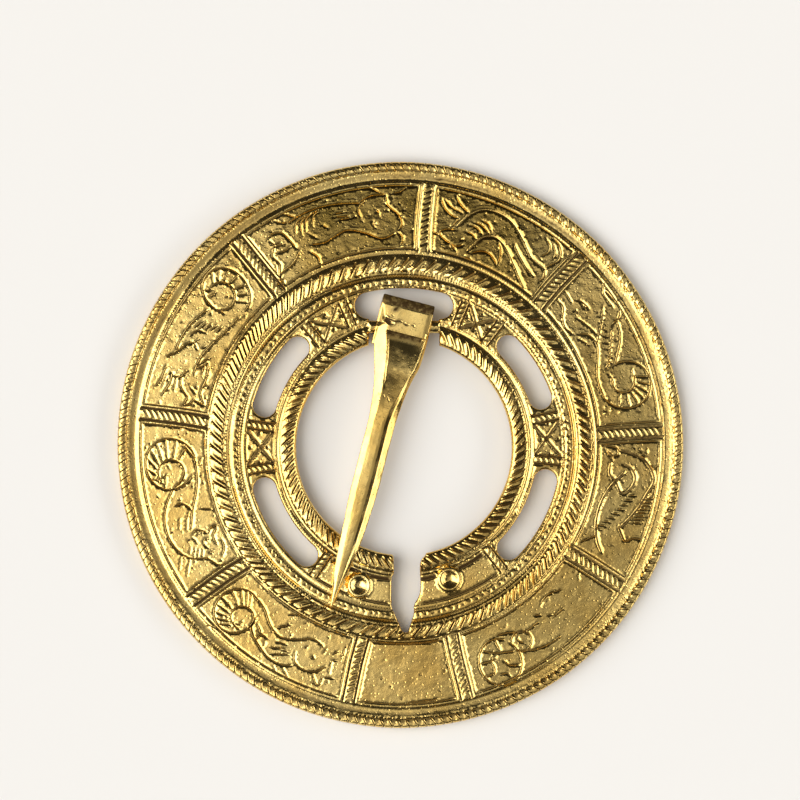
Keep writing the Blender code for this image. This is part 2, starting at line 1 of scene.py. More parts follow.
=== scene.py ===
"""The looks of a penannular brooch in cast brass: a carved plate and a pin that swings on it.

The disc is one closed mesh. Its face is a height map over the flat plate: ropework, dividers,
engraved lines, bosses and edges are functions of place, sampled at points that lie densest along
the carving. settle() then bends it into the same low dome as the CAD. The pin is lofted from its
sections, rolled round the neck and worn smooth. Lengths below are millimetres until mesh_object().
"""
import math

import bpy
import numpy as np
from mathutils import Matrix, Vector
from mathutils.geometry import delaunay_2d_cdt
from mathutils.kdtree import KDTree


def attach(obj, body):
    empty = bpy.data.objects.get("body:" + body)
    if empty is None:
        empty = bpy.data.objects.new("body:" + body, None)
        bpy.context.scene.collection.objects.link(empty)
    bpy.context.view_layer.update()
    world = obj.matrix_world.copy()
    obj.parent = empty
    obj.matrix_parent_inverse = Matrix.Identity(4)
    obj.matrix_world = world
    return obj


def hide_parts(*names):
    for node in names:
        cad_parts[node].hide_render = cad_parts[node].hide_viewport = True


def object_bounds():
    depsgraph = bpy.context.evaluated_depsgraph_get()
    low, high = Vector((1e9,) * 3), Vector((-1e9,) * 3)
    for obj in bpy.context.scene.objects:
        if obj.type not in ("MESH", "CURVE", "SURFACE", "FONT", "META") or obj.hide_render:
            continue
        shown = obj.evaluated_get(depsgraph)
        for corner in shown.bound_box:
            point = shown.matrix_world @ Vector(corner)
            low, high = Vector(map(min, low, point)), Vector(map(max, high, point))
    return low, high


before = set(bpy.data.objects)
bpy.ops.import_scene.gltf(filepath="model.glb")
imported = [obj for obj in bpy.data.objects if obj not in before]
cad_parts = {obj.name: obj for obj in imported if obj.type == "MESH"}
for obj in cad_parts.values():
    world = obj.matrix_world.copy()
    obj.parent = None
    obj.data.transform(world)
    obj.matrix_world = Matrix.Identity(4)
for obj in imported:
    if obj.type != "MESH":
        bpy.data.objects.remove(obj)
cad_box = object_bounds()

MM = 0.001
FULL_TURN = 2 * math.pi

# ---------------------------------------------------------------- sizes

# The plate, flat: heights over the foot of the rim. The foot is narrower than the rim by its taper,
# and the rim's side bulges between them. The rim's upper edge lies a little inside its radius, and
# the cuts notch it
PLATE_TOP = 1.7
PLATE_BOTTOM = 0.4
RIM_RADIUS = (cad_box[1].x - cad_box[0].x) / 2 / MM
RIM_INNER_RADIUS = 38.35
RIM_TAPER = 0.15
RIM_BULGE = 0.12
RIM_EDGE_INSET = 0.11
RIM_NOTCH = 0.09
HOLE_RADIUS = 15.24

# The dome, and how far the inner ring lies off the middle of the outline
DOME_HEIGHT = 1.2
RING_OFFSET = (0.41, -0.42)
OFFSET_FULL_RADIUS = 23.0
OFFSET_GONE_RADIUS = 32.5

# Heights of the plate's face over PLATE_TOP, from the hole to the rim, as (radius, height)
FACE_PROFILE = (
    (HOLE_RADIUS, -0.02), (17.62, -0.02), (17.74, -0.16), (18.1, -0.18), (18.2, 0.02), (18.34, 0.08),
    (18.46, -0.06), (18.58, 0.06), (22.14, 0.03), (22.28, -0.05), (22.4, 0.03), (22.62, 0.10),
    (22.78, 0.05), (22.86, -0.10), (22.98, -0.10), (23.08, 0.08), (23.2, 0.13), (24.06, 0.13),
    (24.18, 0.06), (24.28, -0.14), (24.46, -0.14), (24.58, 0.04), (24.7, 0.18), (24.88, 0.20),
    (24.98, 0.05), (27.1, 0.05), (27.22, 0.02), (27.3, -0.07), (27.42, -0.07), (27.54, 0.06),
    (27.68, 0.08), (27.8, 0.0), (36.75, 0.0), (36.98, 0.05), (37.1, 0.05), (37.22, -0.06),
    (37.32, -0.19), (37.6, -0.16), (38.2, -0.07), (38.45, 0.01), (38.53, 0.03), (38.6, 0.0),
    (38.66, -0.04), (38.72, 0.0),
)

# Where the opened pin rests on the plate: x, y, radius and depth
PIN_REST = (-2.28, 22.02, 1.0, 0.2)

# Rings along the grooves and the cove inside the rim with painted shade in them, as (radius, half width, how
# much)
SHADED_GROOVE_RINGS = (
    (17.92, 0.3, 0.55), (18.46, 0.1, 0.7), (22.28, 0.1, 0.6), (22.92, 0.16, 0.75), (24.37, 0.22, 0.6),
    (27.36, 0.18, 0.45), (37.9, 0.5, 0.58),
)

# The dotted band and the rope outside it lie off the inner ring's centre by this much
BAND_SHIFT = (-0.25, -0.2)
BAND_SHIFT_IN = (22.3, 23.2)
BAND_SHIFT_OUT = (27.5, 28.6)

# Ropework rings. Slanting cuts part a raised band into strands. Lean is how far a cut runs along the
# ring for each millimetre outward, cuts is where they start and end, cut is a cut's half-width and
# depth its depth, roundness is the power of the crown, flatter when it is higher, rows is the radii
# that have points of the mesh, and pitches is how many degrees there are from strand to strand, as
# (angle, degrees)
INNER_ROPE = dict(
    inner=15.36, outer=17.62, height=0.34, lean=0.95, cuts=(15.6, 17.45), cut=0.18, depth=0.25, seed=31,
    roundness=3.0, rows=(15.42, 15.56, 15.8, 16.15, 16.5, 16.9, 17.25, 17.46, 17.57),
    pitches=((-180, 4.2), (-150, 3.5), (-120, 3.5), (-60, 4.2), (0, 4.2), (45, 3.9), (62, 4.5), (120, 3.6),
             (150, 3.9), (180, 4.2)))
MIDDLE_ROPE = dict(
    inner=24.98, outer=27.1, height=0.26, lean=-0.85, cuts=(25.02, 27.1), cut=0.19, depth=0.28, seed=41,
    roundness=7.0, rows=(25.02, 25.12, 25.3, 25.65, 26.05, 26.45, 26.8, 26.96, 27.07),
    pitches=((-180, 3.6), (-165, 3.9), (-150, 3.4), (-140, 2.1), (-126, 3.8), (-100, 4.0), (-75, 3.6),
             (-50, 2.6), (-25, 3.5), (-5, 3.0), (20, 3.8), (60, 4.1), (100, 4.1), (118, 3.5), (130, 2.1),
             (143, 1.6), (155, 2.0), (168, 2.2), (175, 3.3), (180, 3.6)))
RIM_ROPE = dict(
    inner=38.72, outer=39.98, height=0.42, lean=0.6, cuts=(38.5, 40.3), cut=0.09, depth=0.18, seed=71,
    rows=(38.67, 38.73, 38.83, 39.0, 39.3, 39.58, 39.75),
    pitches=((-180, 1.8), (-140, 1.5), (-100, 1.8), (-60, 1.7), (-20, 1.9), (20, 2.1), (50, 2.0), (75, 1.8),
             (110, 1.6), (140, 1.3), (155, 1.9), (180, 1.8)))

# Where a strand's middle is between two cuts. Strands get a second, shorter cut there from the first of
# these widths on, and in full from the other
STRAND_MIDDLE = 0.52
WIDE_STRAND = (0.95, 1.3)

# Where the rim's cuts stop short of its edge, as (angle in radians, spread), and where they are worn
# away, as (angle, half width) in degrees
SHORT_CUTS = (math.radians(45.0), 0.6)
WORN_RIM = (157.0, 9.0)

# Dents at the inner ends of the rim's blocks, darkened with painted shadow under the blocks' edges, and where
# round the rim they are deep, in degrees
DENT_RADIUS = 38.78
DENTED = ((-180.0, 0.2), (-170.0, 0.2), (-160.0, 0.7), (-60.0, 1.0), (-25.0, 0.5), (60.0, 0.4), (85.0, 1.0),
          (118.0, 1.0), (130.0, 0.2), (180.0, 0.2))

# Soft dark patina, partly painted shade: the first row paints the shade that lies over the two top panels.
# As (from, full from, full to, to, inner radius, outer radius, how much), in degrees, and how wide its edge
# is along the radius
STAINS_AND_SHADE = (
    (38.0, 66.0, 108.0, 126.0, 27.6, 37.2, 0.8), (-64.0, -58.0, -46.0, -40.0, 23.6, 27.4, 0.6),
    (-100.0, -65.0, 20.0, 45.0, 27.6, 39.0, 0.25),
)
PATCH_EDGE = 0.8

# The dotted band: the radius of its ring and the spacing in degrees, and the faint second row inside
# it, as (radius, first and last angle, spacing). The sizes are the dots' least and greatest radii
DOT_RING = 23.5
DOT_SPACING = 2.35
DOT_SIZES = (0.15, 0.2)
SECOND_ROW = (22.6, -9.0, 46.0, 1.9)
SECOND_SIZES = (0.08, 0.12)

# The dots in the crosses' corners, as (radius, depth), and their radii round the ring
CROSS_DOT = (0.26, 0.16)
CROSS_DOT_RINGS = (19.35, 20.55, 21.75)

# The small pits of the panels: how many, and between which radii
PIT_COUNT = 230
PIT_RING = (28.2, 36.4)

# Roped bars: from and to which radius, and their strands' length and slant along the radius
DIVIDER = dict(inner=27.65, outer=36.95, half_width=0.56, pitch=0.82)
INNER_BAR = dict(inner=18.65, outer=22.15, half_width=0.36, pitch=0.8)
BAR_SLANT = 0.62
BAR_RISE = 0.24

# The angles of the dividers between the panels, the radius of the panels' middles, where the panels'
# rough ground starts and ends along the radius, and the thin frame line round each panel: its radii,
# and how far it is from a divider's middle
DIVIDERS = (173.2, 128.7, 83.9, 46.0, 3.0, -32.6, -75.4, -101.6, -143.2)
PANEL_RADIUS = 32.35
PANEL_BAND = ((27.6, 28.2), (36.3, 37.0))
FRAME_INNER = 27.95
FRAME_OUTER = 36.62
FRAME_SIDE = 1.36
SUNK_BAND_SIDE = 0.82

# Kidney slots, as (first and last angle in degrees, inner and outer radius): the first is behind the
# pin's head. Between them are the crossed bridges, with a bar inset at each end and the cross further
# in, and two lone bars
SLOTS = (
    (70.5, 109.4, 18.75, 22.5), (132.4, 168.1, 18.85, 22.15), (-167.8, -127.6, 18.85, 22.15),
    (-48.5, -8.7, 18.85, 22.2), (15.4, 48.6, 18.85, 22.15),
)
BRIDGES = ((109.4, 132.4), (168.1, 192.2), (-8.7, 15.4), (48.6, 70.5))
LONE_BARS = (-125.2, -50.8)
BAR_INSET = 3.6
CROSS_INSET = 1.62 * BAR_INSET

# The two plates beside the slit: the angles of their ends at the slit and how far they stop short of
# the lone bars, and the radii of the grooves along them
SLIT_PLATE_ENDS = (-95.5, -83.5)
SLIT_PLATE_MARGIN = 2.4
SLIT_PLATE_RINGS = (18.75, 22.1)

# Bosses beside the slit, as (radius, angle in degrees), and their height at each distance from the middle
BOSSES = ((20.5, -107.9), (19.7, -71.0))
BOSS_PROFILE = ((0.0, -0.08), (0.45, -0.03), (0.95, 0.2), (1.2, 0.44), (1.42, 0.5), (1.65, 0.42), (1.92, 0.0))

# The slit's edge, from its left end round the point at its bottom
SLIT_OUTLINE = (
    (-1.7, -14.0), (-1.5, -15.4), (-1.45, -17.8), (-1.75, -18.5), (-1.75, -22.3), (-1.3, -23.5),
    (-0.4, -25.5), (-0.2, -26.0), (0.25, -26.2), (0.7, -26.1), (1.05, -24.7), (1.4, -23.5),
    (1.45, -22.3), (2.15, -20.9), (2.35, -19.6), (2.3, -16.4), (3.0, -15.2), (3.2, -14.0),
)

# The round neck that the pin turns on: a straight bar across the ring
NECK_RING_RADIUS = 17.0
NECK_HALF_LENGTH = 5.0
NECK_RADIUS = 0.88
NECK_HEIGHT = 1.3

# How far from the edge and how deep the face's edge is rounded off, and how wide a strip inside the rim
# has no points but the rows that round it off
EDGE_ROUND = 0.25
EDGE_DROP = 0.17
RIM_MARGIN = 0.2

# Point spacings along outlines, engraved lines and rings, and over the plain face and the back
EDGE_STEP = 0.22
STROKE_STEP = 0.24
ROW_STEP = 0.4
FIELD_STEP = 0.33
BACK_STEP = 1.0


# ---------------------------------------------------------------- helpers

def polar(radius, degrees):
    angle = math.radians(degrees)
    return radius * math.cos(angle), radius * math.sin(angle)


def on_circle(radius, angles):
    """Points at angles in radians, for one radius or one for each."""
    return np.stack([radius * np.cos(angles), radius * np.sin(angles)], -1)


def smooth_step(value, low, high):
    t = np.clip((value - low) / (high - low), 0.0, 1.0)
    return t * t * (3.0 - 2.0 * t)


def plateau(value, rise, fall):
    """One from the end of the rise to the start of the fall, and nothing outside them."""
    return smooth_step(value, *rise) * (1.0 - smooth_step(value, *fall))


def ring_share(radius):
    """How much of the inner ring's shift a point at this radius takes."""
    return 1.0 - smooth_step(radius, OFFSET_FULL_RADIUS, OFFSET_GONE_RADIUS)


def settle(x, y, z):
    """Bend the flat disc into its dome, and move the inner ring off centre."""
    radius = np.hypot(x, y)
    height = DOME_HEIGHT * np.maximum(0.0, 1.0 - (radius / RIM_INNER_RADIUS) ** 2)
    share = ring_share(radius)
    return x + RING_OFFSET[0] * share, y + RING_OFFSET[1] * share, z + height


def band_share(points):
    """How much of the dotted band's shift each place takes."""
    radius = np.hypot(points[..., 0], points[..., 1])
    return plateau(radius, BAND_SHIFT_IN, BAND_SHIFT_OUT)[..., None]


def shifted(points):
    """Places on the plate of points that are given in the dotted band's own rings."""
    points = np.asarray(points, float)
    return points + band_share(points) * BAND_SHIFT


def unshifted(points):
    """The other way round from shifted()."""
    guess = points - band_share(points) * BAND_SHIFT
    return points - band_share(guess) * BAND_SHIFT


def smooth_line(points, step):
    """A smooth curve through a stroke's points, as points at most a step apart."""
    knots = np.array(points, float)
    if len(knots) == 2:
        count = max(1, math.ceil(np.hypot(*(knots[1] - knots[0])) / step))
        return knots[0] + (knots[1] - knots[0]) * np.linspace(0.0, 1.0, count + 1)[:, None]
    padded = np.vstack([2 * knots[0] - knots[1], knots, 2 * knots[-1] - knots[-2]])
    if np.allclose(knots[0], knots[-1]):
        padded[0], padded[-1] = knots[-2], knots[1]
    line = []
    for a, b, c, d in zip(padded, padded[1:], padded[2:], padded[3:]):
        count = max(1, math.ceil(np.hypot(*(c - b)) / step))
        for t in np.arange(count) / count:
            line.append(0.5 * (2 * b + (c - a) * t + (2 * a - 5 * b + 4 * c - d) * t ** 2
                               + (3 * b - a - 3 * c + d) * t ** 3))
    return np.array(line + [knots[-1]])


def lattice_noise(x, y, size, seed):
    """Smooth noise from -1 to 1 over the plane, with features of about the given size."""
    cells = 512
    table = np.random.default_rng(seed).uniform(-1.0, 1.0, (cells, cells))
    u, v = x / size, y / size
    i, j = np.floor(u).astype(int), np.floor(v).astype(int)
    fu, fv = u - i, v - j
    fu, fv = fu * fu * (3 - 2 * fu), fv * fv * (3 - 2 * fv)
    low = table[i % cells, j % cells] * (1 - fu) + table[(i + 1) % cells, j % cells] * fu
    high = table[i % cells, (j + 1) % cells] * (1 - fu) + table[(i + 1) % cells, (j + 1) % cells] * fu
    return low * (1 - fv) + high * fv


# ---------------------------------------------------------------- engraved lines

class Stroke:
    """A groove along a line: V-shaped, or flat below over the given share of its width.

    A negative depth is a raised line. Its ends run out over the given length.
    """

    def __init__(self, line, half_width, depth, flat=0.0, run_out=0.35, darkening=1.0):
        self.line = np.asarray(line, float)
        self.darkening = darkening
        self.half_width = half_width
        self.depth = depth
        self.flat = flat
        self.run_out = run_out

    def guide_lines(self):
        """Lines that carry the groove: its bottom and both its edges."""
        ahead = np.gradient(self.line, axis=0)
        ahead /= np.maximum(np.hypot(ahead[:, 0], ahead[:, 1]), 1e-9)[:, None]
        across = np.stack([-ahead[:, 1], ahead[:, 0]], 1) * self.half_width
        offsets = (-1.0, 0.0, 1.0) if self.flat == 0.0 else (-1.0, -self.flat, self.flat, 1.0)
        return [self.line + across * k for k in offsets]

    def carve(self, points, height, dirt_and_shade):
        """Lower the heights of the points that the groove covers."""
        reach = 1.9 * self.half_width
        low, high = self.line.min(0) - reach, self.line.max(0) + reach
        near = np.where(((points > low) & (points < high)).all(1))[0]
        if not len(near):
            return
        p = points[near][:, None, :]
        start, span = self.line[:-1][None], np.diff(self.line, axis=0)[None]
        length = np.maximum((span ** 2).sum(2), 1e-12)
        t = np.clip(((p - start) * span).sum(2) / length, 0.0, 1.0)
        away = np.hypot(*np.moveaxis(p - start - span * t[..., None], 2, 0))
        nearest = away.argmin(1)
        distance = away[np.arange(len(near)), nearest]
        lengths = np.sqrt(length[0])
        travelled = np.concatenate([[0.0], np.cumsum(lengths)])
        along = travelled[nearest] + lengths[nearest] * t[np.arange(len(near)), nearest]
        ends = np.minimum(along, travelled[-1] - along)
        strength = 0.35 + 0.65 * np.clip(ends / self.run_out, 0.0, 1.0) if self.run_out else 1.0
        k = distance / self.half_width
        groove = np.clip((1.0 - k) / (1.0 - self.flat), 0.0, 1.0)
        burr = 0.3 * np.exp(-((k - 1.05) / 0.35) ** 2) if self.depth > 0 else 0.0
        sunk = self.depth * strength * (groove - burr)
        height[near] -= sunk
        # The groove is darkened with dirt and painted shade
        if self.depth > 0:
            dirt_and_shade[near] = np.maximum(dirt_and_shade[near], np.minimum(1.0, 1.25 * groove) * strength * self.darkening)


# Styles of groove: half width, depth, and where they differ the flat share, run out and darkening, which is
# dirt and painted shade in the groove
CONTOUR = (0.14, 0.17)
FINE = (0.105, 0.12)
BROAD = (0.22, 0.17, 0.45)
SUNK_BAND = (0.25, 0.17, 0.4, 0.0)
FRAME_EDGE = (0.12, 0.11, 0.0, 0.3)
FRAME_ARC = (0.13, 0.12, 0.0, 0.3)
CROSS = (0.27, 0.2, 0.4, 0.0, 0.75)
BAR_EDGE = (0.2, 0.22, 0.3, 0.0)
SLIT_PLATE_INNER = (0.3, 0.2, 0.5, 0.4)
SLIT_PLATE_OUTER = (0.16, 0.14, 0.2, 0.3)


def panel_place(panel_angle, points):
    """Places on the flat disc of (x clockwise, y outward) points round a panel's middle."""
    points = np.asarray(points, float)
    radius = PANEL_RADIUS + points[:, 1]
    angle = math.radians(panel_angle) - points[:, 0] / PANEL_RADIUS
    return on_circle(radius, angle) - ring_share(radius)[:, None] * RING_OFFSET


def oval(x, y, half_width, half_height, start, end, count):
    """Points of an oval from one angle to another, counterclockwise, in degrees."""
    angles = np.radians(np.linspace(start, end, count))
    return np.stack([x + half_width * np.cos(angles), y + half_height * np.sin(angles)], 1)


def rib(outer, inner, degrees, start_gap=0.12, end_gap=0.05):
    """A rib of a coiled tail, from its inner circle to its outer oval."""
    a = oval(*inner, degrees, degrees, 1)[0]
    b = oval(*outer, degrees, degrees, 1)[0]
    return [a + (b - a) * start_gap, b - (b - a) * end_gap]


def coil(outer, inner, outer_turn, inner_turn, ribs):
    """A beast's tail, curled up and ribbed, as (style, points) strokes."""
    strokes = [(CONTOUR, oval(*outer, *outer_turn, 24)), (CONTOUR, oval(*inner, *inner_turn, 18))]
    strokes += [(FINE, rib(outer, inner, degrees)) for degrees in ribs]
    return strokes


def lines(style, *strokes):
    return [(style, stroke) for stroke in strokes]


def hatch(first, last, count, run, style=FINE):
    """Parallel short lines: their starts go from the first place to the last, each with one run."""
    starts = np.linspace(first, last, count)
    return [(style, [start, start + np.array(run)]) for start in starts]


PANELS = {
    # Upper left: a winged beast that dives, with a coiled tail
    150.95: (
        coil((6.87, 0.24, 2.9, 3.69), (5.87, 0.44, 1.96, 1.96), (-100, 205), (-160, 95),
             (-70, -45, -20, 8, 33, 55, 75))
        + lines(CONTOUR,
                [(-3.77, 1.94), (-1.61, 2.05), (0.72, 1.69), (3.21, 0.94)],
                [(-6.09, -1.55), (-3.27, -1.64), (-0.61, -2.3), (2.21, -3.05), (5.2, -3.46)],
                [(-4.93, 3.01), (-3.77, 1.85), (-2.27, 1.02), (-1.77, 0.19), (-2.35, -0.67)],
                [(-9.0, 3.26), (-7.92, 2.65), (-5.93, 2.48)],
                [(-9.75, 2.02), (-8.42, 1.39), (-7.09, 1.27), (-6.6, 1.5)],
                [(-7.0, 1.3), (-6.95, 0.5), (-6.8, 0.0), (-5.59, -0.35)],
                [(-6.8, 0.0), (-7.9, -0.2), (-8.8, -0.9), (-9.41, -1.64)],
                [(-9.41, -1.64), (-10.2, -1.4), (-10.83, -0.89)],
                [(-10.83, -0.89), (-10.41, -1.97), (-9.58, -2.55)],
                [(-9.58, -2.55), (-9.9, -3.2), (-10.11, -4.09)],
                [(-10.11, -4.09), (-8.25, -3.21), (-6.42, -3.46), (-4.01, -3.3)],
                [(-4.9, -1.75), (-4.3, -2.5), (-5.43, -2.63)])
        + lines(FINE,
                [(-2.7, -2.75), (-3.6, -2.2), (-4.5, -1.7)], [(-4.3, -2.5), (-3.6, -2.9), (-4.6, -3.1)],
                [(-8.75, 2.22), (-6.92, 2.13)], [(-9.0, 0.52), (-7.17, 0.62)],
                [(-1.02, 1.19), (0.05, 0.52), (0.39, -0.47)], [(-1.94, 0.19), (-0.86, -0.16)],
                [(-2.1, -1.05), (-1.4, -1.49)], [(5.2, 2.77), (5.79, 2.02)], [(4.62, 1.69), (5.79, 1.44)],
                [(-8.6, -2.6), (-7.9, -1.6)])
        + hatch((0.22, 1.1), (1.05, -1.72), 5, (1.35, -0.45))
    ),
    # Left: a stooping beast with a curled, ribbed tail
    195.0: (
        coil((5.65, 0.19, 3.57, 3.52), (4.4, 0.27, 1.83, 1.83), (-80, 235), (-150, 130),
             (-40, -15, 10, 32, 52, 72, 95, 118))
        + lines(CONTOUR,
                [(-8.72, -0.64), (-7.56, 1.44), (-5.73, 2.55), (-3.41, 2.9), (-0.75, 2.27), (2.1, 0.35),
                 (3.0, -0.9), (4.2, -1.6)],
                [(-3.9, -0.56), (-1.41, -1.64), (1.08, -2.8), (3.57, -3.3), (6.2, -3.1), (8.2, -1.7)],
                [(-11.05, -2.3), (-10.38, -1.47), (-8.72, -0.72)],
                [(-9.63, -2.72), (-8.72, -3.55), (-7.39, -3.8)],
                [(-0.08, 0.61), (-0.33, -0.64), (-1.33, -1.5)],
                [(-4.9, -0.31), (-4.49, -0.97), (-4.75, -1.7), (-5.4, -2.3)],
                [(-7.72, -2.8), (-6.23, -2.97), (-5.4, -3.88)],
                [(-5.6, -2.5), (-4.9, -3.2), (-5.0, -4.1)])
        + lines(FINE,
                [(-8.3, -2.0), (-8.1, -1.3)], [(-7.6, -1.6), (-6.8, -1.2), (-6.2, -1.6), (-6.3, -2.1)],
                [(-6.23, -0.47), (-5.07, -0.14)], [(-5.2, -0.6), (-4.95, -1.3)],
                [(-1.5, -2.55), (-2.24, -4.13)], [(-9.47, 3.1), (-8.4, 2.2), (-7.72, 1.52)],
                [(-8.22, 3.51), (-6.89, 2.43)], [(-3.41, 1.1), (-2.08, 0.52)], [(-3.9, 0.19), (-1.9, -0.6)],
                [(-2.4, -0.3), (-1.6, -1.0)], [(4.98, -3.63), (6.23, -4.29)], [(5.0, 0.4), (5.5, 0.6)],
                [(3.7, 2.2), (4.2, 0.9)], [(2.6, 1.5), (3.3, 1.2), (4.1, 1.1)], [(6.3, -1.0), (7.8, -2.1)])
        + hatch((-8.25, -0.14), (-7.0, 1.15), 4, (0.75, -0.55))
    ),
    # Lower left: a round-headed beast with a coiled, ribbed tail
    -122.4: (
        coil((6.88, 0.61, 2.86, 3.29), (5.64, 0.77, 1.61, 1.61), (-115, 200), (-200, 120),
             (3, 25, 45, 62, 80, -28, -52, -70, -85))
        + lines(CONTOUR,
                [(-3.5, 2.35), (-2.17, 3.01), (-0.34, 3.05), (1.65, 2.32), (3.2, 1.6), (3.95, 0.9)],
                [(-6.49, -1.8), (-4.66, -2.22), (-2.67, -1.27), (-0.34, -0.34), (1.65, -0.77),
                 (3.98, -2.17), (6.13, -2.67)],
                [(-7.65, 0.69), (-6.82, 1.77), (-5.16, 2.27), (-3.58, 1.77), (-3.03, 0.44)],
                [(2.4, 1.94), (2.15, 0.96), (1.15, 0.77)], [(2.2, 0.8), (3.48, 0.02)],
                [(2.9, 1.7), (3.8, 1.0), (4.0, 0.0)])
        + lines(FINE,
                [(-7.9, 2.35), (-7.52, 3.6), (-6.49, 2.43)], [(-9.31, 1.94), (-7.99, 2.18)],
                [(-8.48, 1.52), (-8.32, -0.14)], [(-9.65, -2.47), (-9.65, -1.64), (-9.31, -1.14)],
                [(-9.0, -0.6), (-8.1, -0.3)], [(-8.8, -1.9), (-8.0, -1.2)],
                [(-6.74, -0.81), (-6.99, -1.64)], [(-2.5, 1.19), (-0.34, 2.35)],
                [(-1.67, 0.69), (0.32, 1.69)],
                [(-1.67, 0.11), (0.0, 0.5)], [(-2.2, 0.9), (-1.2, 1.2)], [(1.2, 1.4), (1.0, 2.0)],
                [(-3.58, 4.09), (-2.67, 3.35)], [(-2.17, 4.43), (-1.42, 3.68)],
                [(5.39, 1.1), (5.39, 1.85), (5.8, 1.94)], [(5.47, 2.77), (6.05, 2.02)],
                [(0.9, -1.14), (-0.68, -2.63)], [(5.97, 4.26), (6.97, 4.34), (8.29, 5.01)],
                [(-0.8, -4.3), (0.7, -3.6)])
    ),
    # Bottom: worn plain
    -88.5: lines(FINE, [(-3.9, 3.9), (0.0, 4.05)]),
    # Lower right: worn, with a knotted tail
    -54.0: (
        coil((6.46, 1.35, 2.86, 3.3), (2.48, 0.2, 1.45, 1.4), (-130, 215), (20, 340), ())
        + lines(CONTOUR,
                [(-2.18, 2.85), (-0.35, 2.72), (1.48, 2.27), (2.6, 1.7), (3.4, 1.2)],
                [(-1.0, -0.7), (0.8, -0.64), (2.0, -0.95), (3.64, -1.8), (5.3, -2.17)],
                [(4.3, 3.01), (5.5, 2.35), (5.96, 1.3)], [(4.14, 0.86), (6.46, 0.02), (8.12, -0.97)],
                [(6.63, 0.36), (7.46, 0.77), (9.12, 0.61)], [(7.46, 0.86), (7.62, 2.35), (9.12, 2.6)],
                [(5.8, -0.14), (5.88, -1.8)])
        + lines(FINE,
                [(-6.83, -1.8), (-5.0, -2.63), (-3.67, -2.63), (-2.67, -2.3)],
                [(-2.01, -1.14), (-1.01, -1.89)],
                [(6.0, 3.9), (6.3, 3.2), (7.3, 3.0)], [(-5.0, 0.2), (-3.0, 0.1)],
                [(-3.3, -0.2), (-2.6, -0.6)], [(-10.2, -1.3), (-9.4, -0.8)], [(-4.4, -4.1), (-1.6, -4.0)],
                [(2.2, 0.8), (2.8, 0.0), (2.6, -0.6)])
    ),
    # Right: a looped ribbon
    -14.8: lines(
        BROAD,
        [(-7.6, -1.47), (-7.1, 0.36), (-6.19, 2.35), (-4.03, 3.81), (-1.87, 3.1), (0.79, 2.05), (3.45, 0.69)],
        [(-5.52, -0.72), (-5.02, 0.44), (-3.69, 1.15), (-2.2, 0.69), (-1.37, -0.47), (-3.03, -1.64),
         (-3.86, -2.55), (-5.52, -2.63)],
        [(-4.36, -0.47), (-3.36, -1.3), (-1.2, -2.47), (1.46, -2.93), (4.28, -2.55), (6.44, -1.39),
         (7.6, -0.14)])
    + lines(CONTOUR, [(3.3, 0.4), (4.78, 2.02), (4.1, 3.0), (3.78, 4.2)], [(3.12, 0.36), (4.78, 2.02)])
    + lines(FINE,
            [(-8.18, -3.63), (-7.85, -1.8), (-6.85, -1.64), (-6.68, -2.8), (-7.51, -3.46)],
            [(-7.85, 2.52), (-7.18, 2.43)], [(-7.85, 1.52), (-7.51, 1.44)], [(5.77, -1.97), (7.6, -3.46)],
            [(-5.9, 4.3), (-5.3, 3.6)], [(-7.3, -3.2), (-6.9, -2.4)])
    + hatch((-1.6, 4.2), (1.8, 3.4), 8, (0.5, -1.5)) + hatch((-1.5, 1.6), (4.6, -1.6), 9, (0.3, -1.0)),
    # Upper right: a beast with a ribbed coil, worn in the middle
    24.5: (
        coil((5.43, 0.52, 3.24, 3.57), (4.77, 0.36, 1.66, 1.66), (-95, 200), (-125, 110),
             (-28, 0, 22, 40, 58, 76, 95))
        + lines(CONTOUR,
                [(-3.95, 4.01), (-3.2, 3.2), (-2.9, 1.9)],
                [(-2.9, 2.9), (-0.96, 2.35), (0.86, 1.02), (2.19, 0.0)],
                [(-4.3, -2.9), (-3.29, -1.64), (-1.46, -1.17), (0.53, -1.94), (2.52, -2.8), (4.52, -3.05),
                 (6.4, -2.8)],
                [(-10.1, -2.22), (-8.85, -2.27), (-7.61, -3.3), (-6.11, -3.83), (-4.78, -3.46)])
        + lines(FINE,
                [(-8.6, -0.31), (-7.7, 0.3), (-6.28, 0.52)], [(-6.28, -1.64), (-4.62, -1.05), (-2.96, -0.56)],
                [(-7.77, 4.51), (-7.44, 3.85), (-6.61, 3.35), (-4.62, 3.43)], [(-10.3, -0.6), (-8.6, -0.9)],
                [(-6.9, 3.9), (-5.2, 4.1)], [(-3.3, 2.6), (-3.0, 3.9)], [(3.5, 2.2), (5.2, 1.5)],
                [(3.2, -1.3), (4.4, -1.0), (5.6, -1.3)], [(-3.6, -3.1), (-2.0, -2.3)],
                [(7.1, -0.6), (8.0, -1.0)])
        + hatch((-5.6, 2.3), (-2.6, -0.4), 7, (1.1, -0.7)) + hatch((-4.9, 0.9), (1.4, -0.9), 8, (0.5, 0.6))
        + hatch((-2.4, 1.9), (1.6, -0.6), 7, (0.8, -0.9))
    ),
    # Top right: a leaping beast with long ears, in double lines
    64.95: lines(
        BROAD,
        [(-6.06, -0.6), (-5.64, 0.02), (-4.56, 1.77), (-3.07, 2.93), (-1.24, 3.21), (0.75, 2.88),
         (3.08, 1.55), (5.2, 0.1), (6.3, -0.2), (8.06, -0.22)],
        [(-3.49, -3.6), (-2.82, -2.3), (-1.91, -0.81), (-0.41, -0.14), (1.42, -0.64), (3.91, -2.22),
         (6.0, -3.5), (7.6, -4.3)],
        [(2.58, 0.19), (4.07, -0.77), (5.73, -1.6), (7.4, -2.05)])
    + lines(CONTOUR,
            [(-8.88, 2.93), (-8.14, 1.6), (-7.06, 0.82), (-6.2, 0.77)],
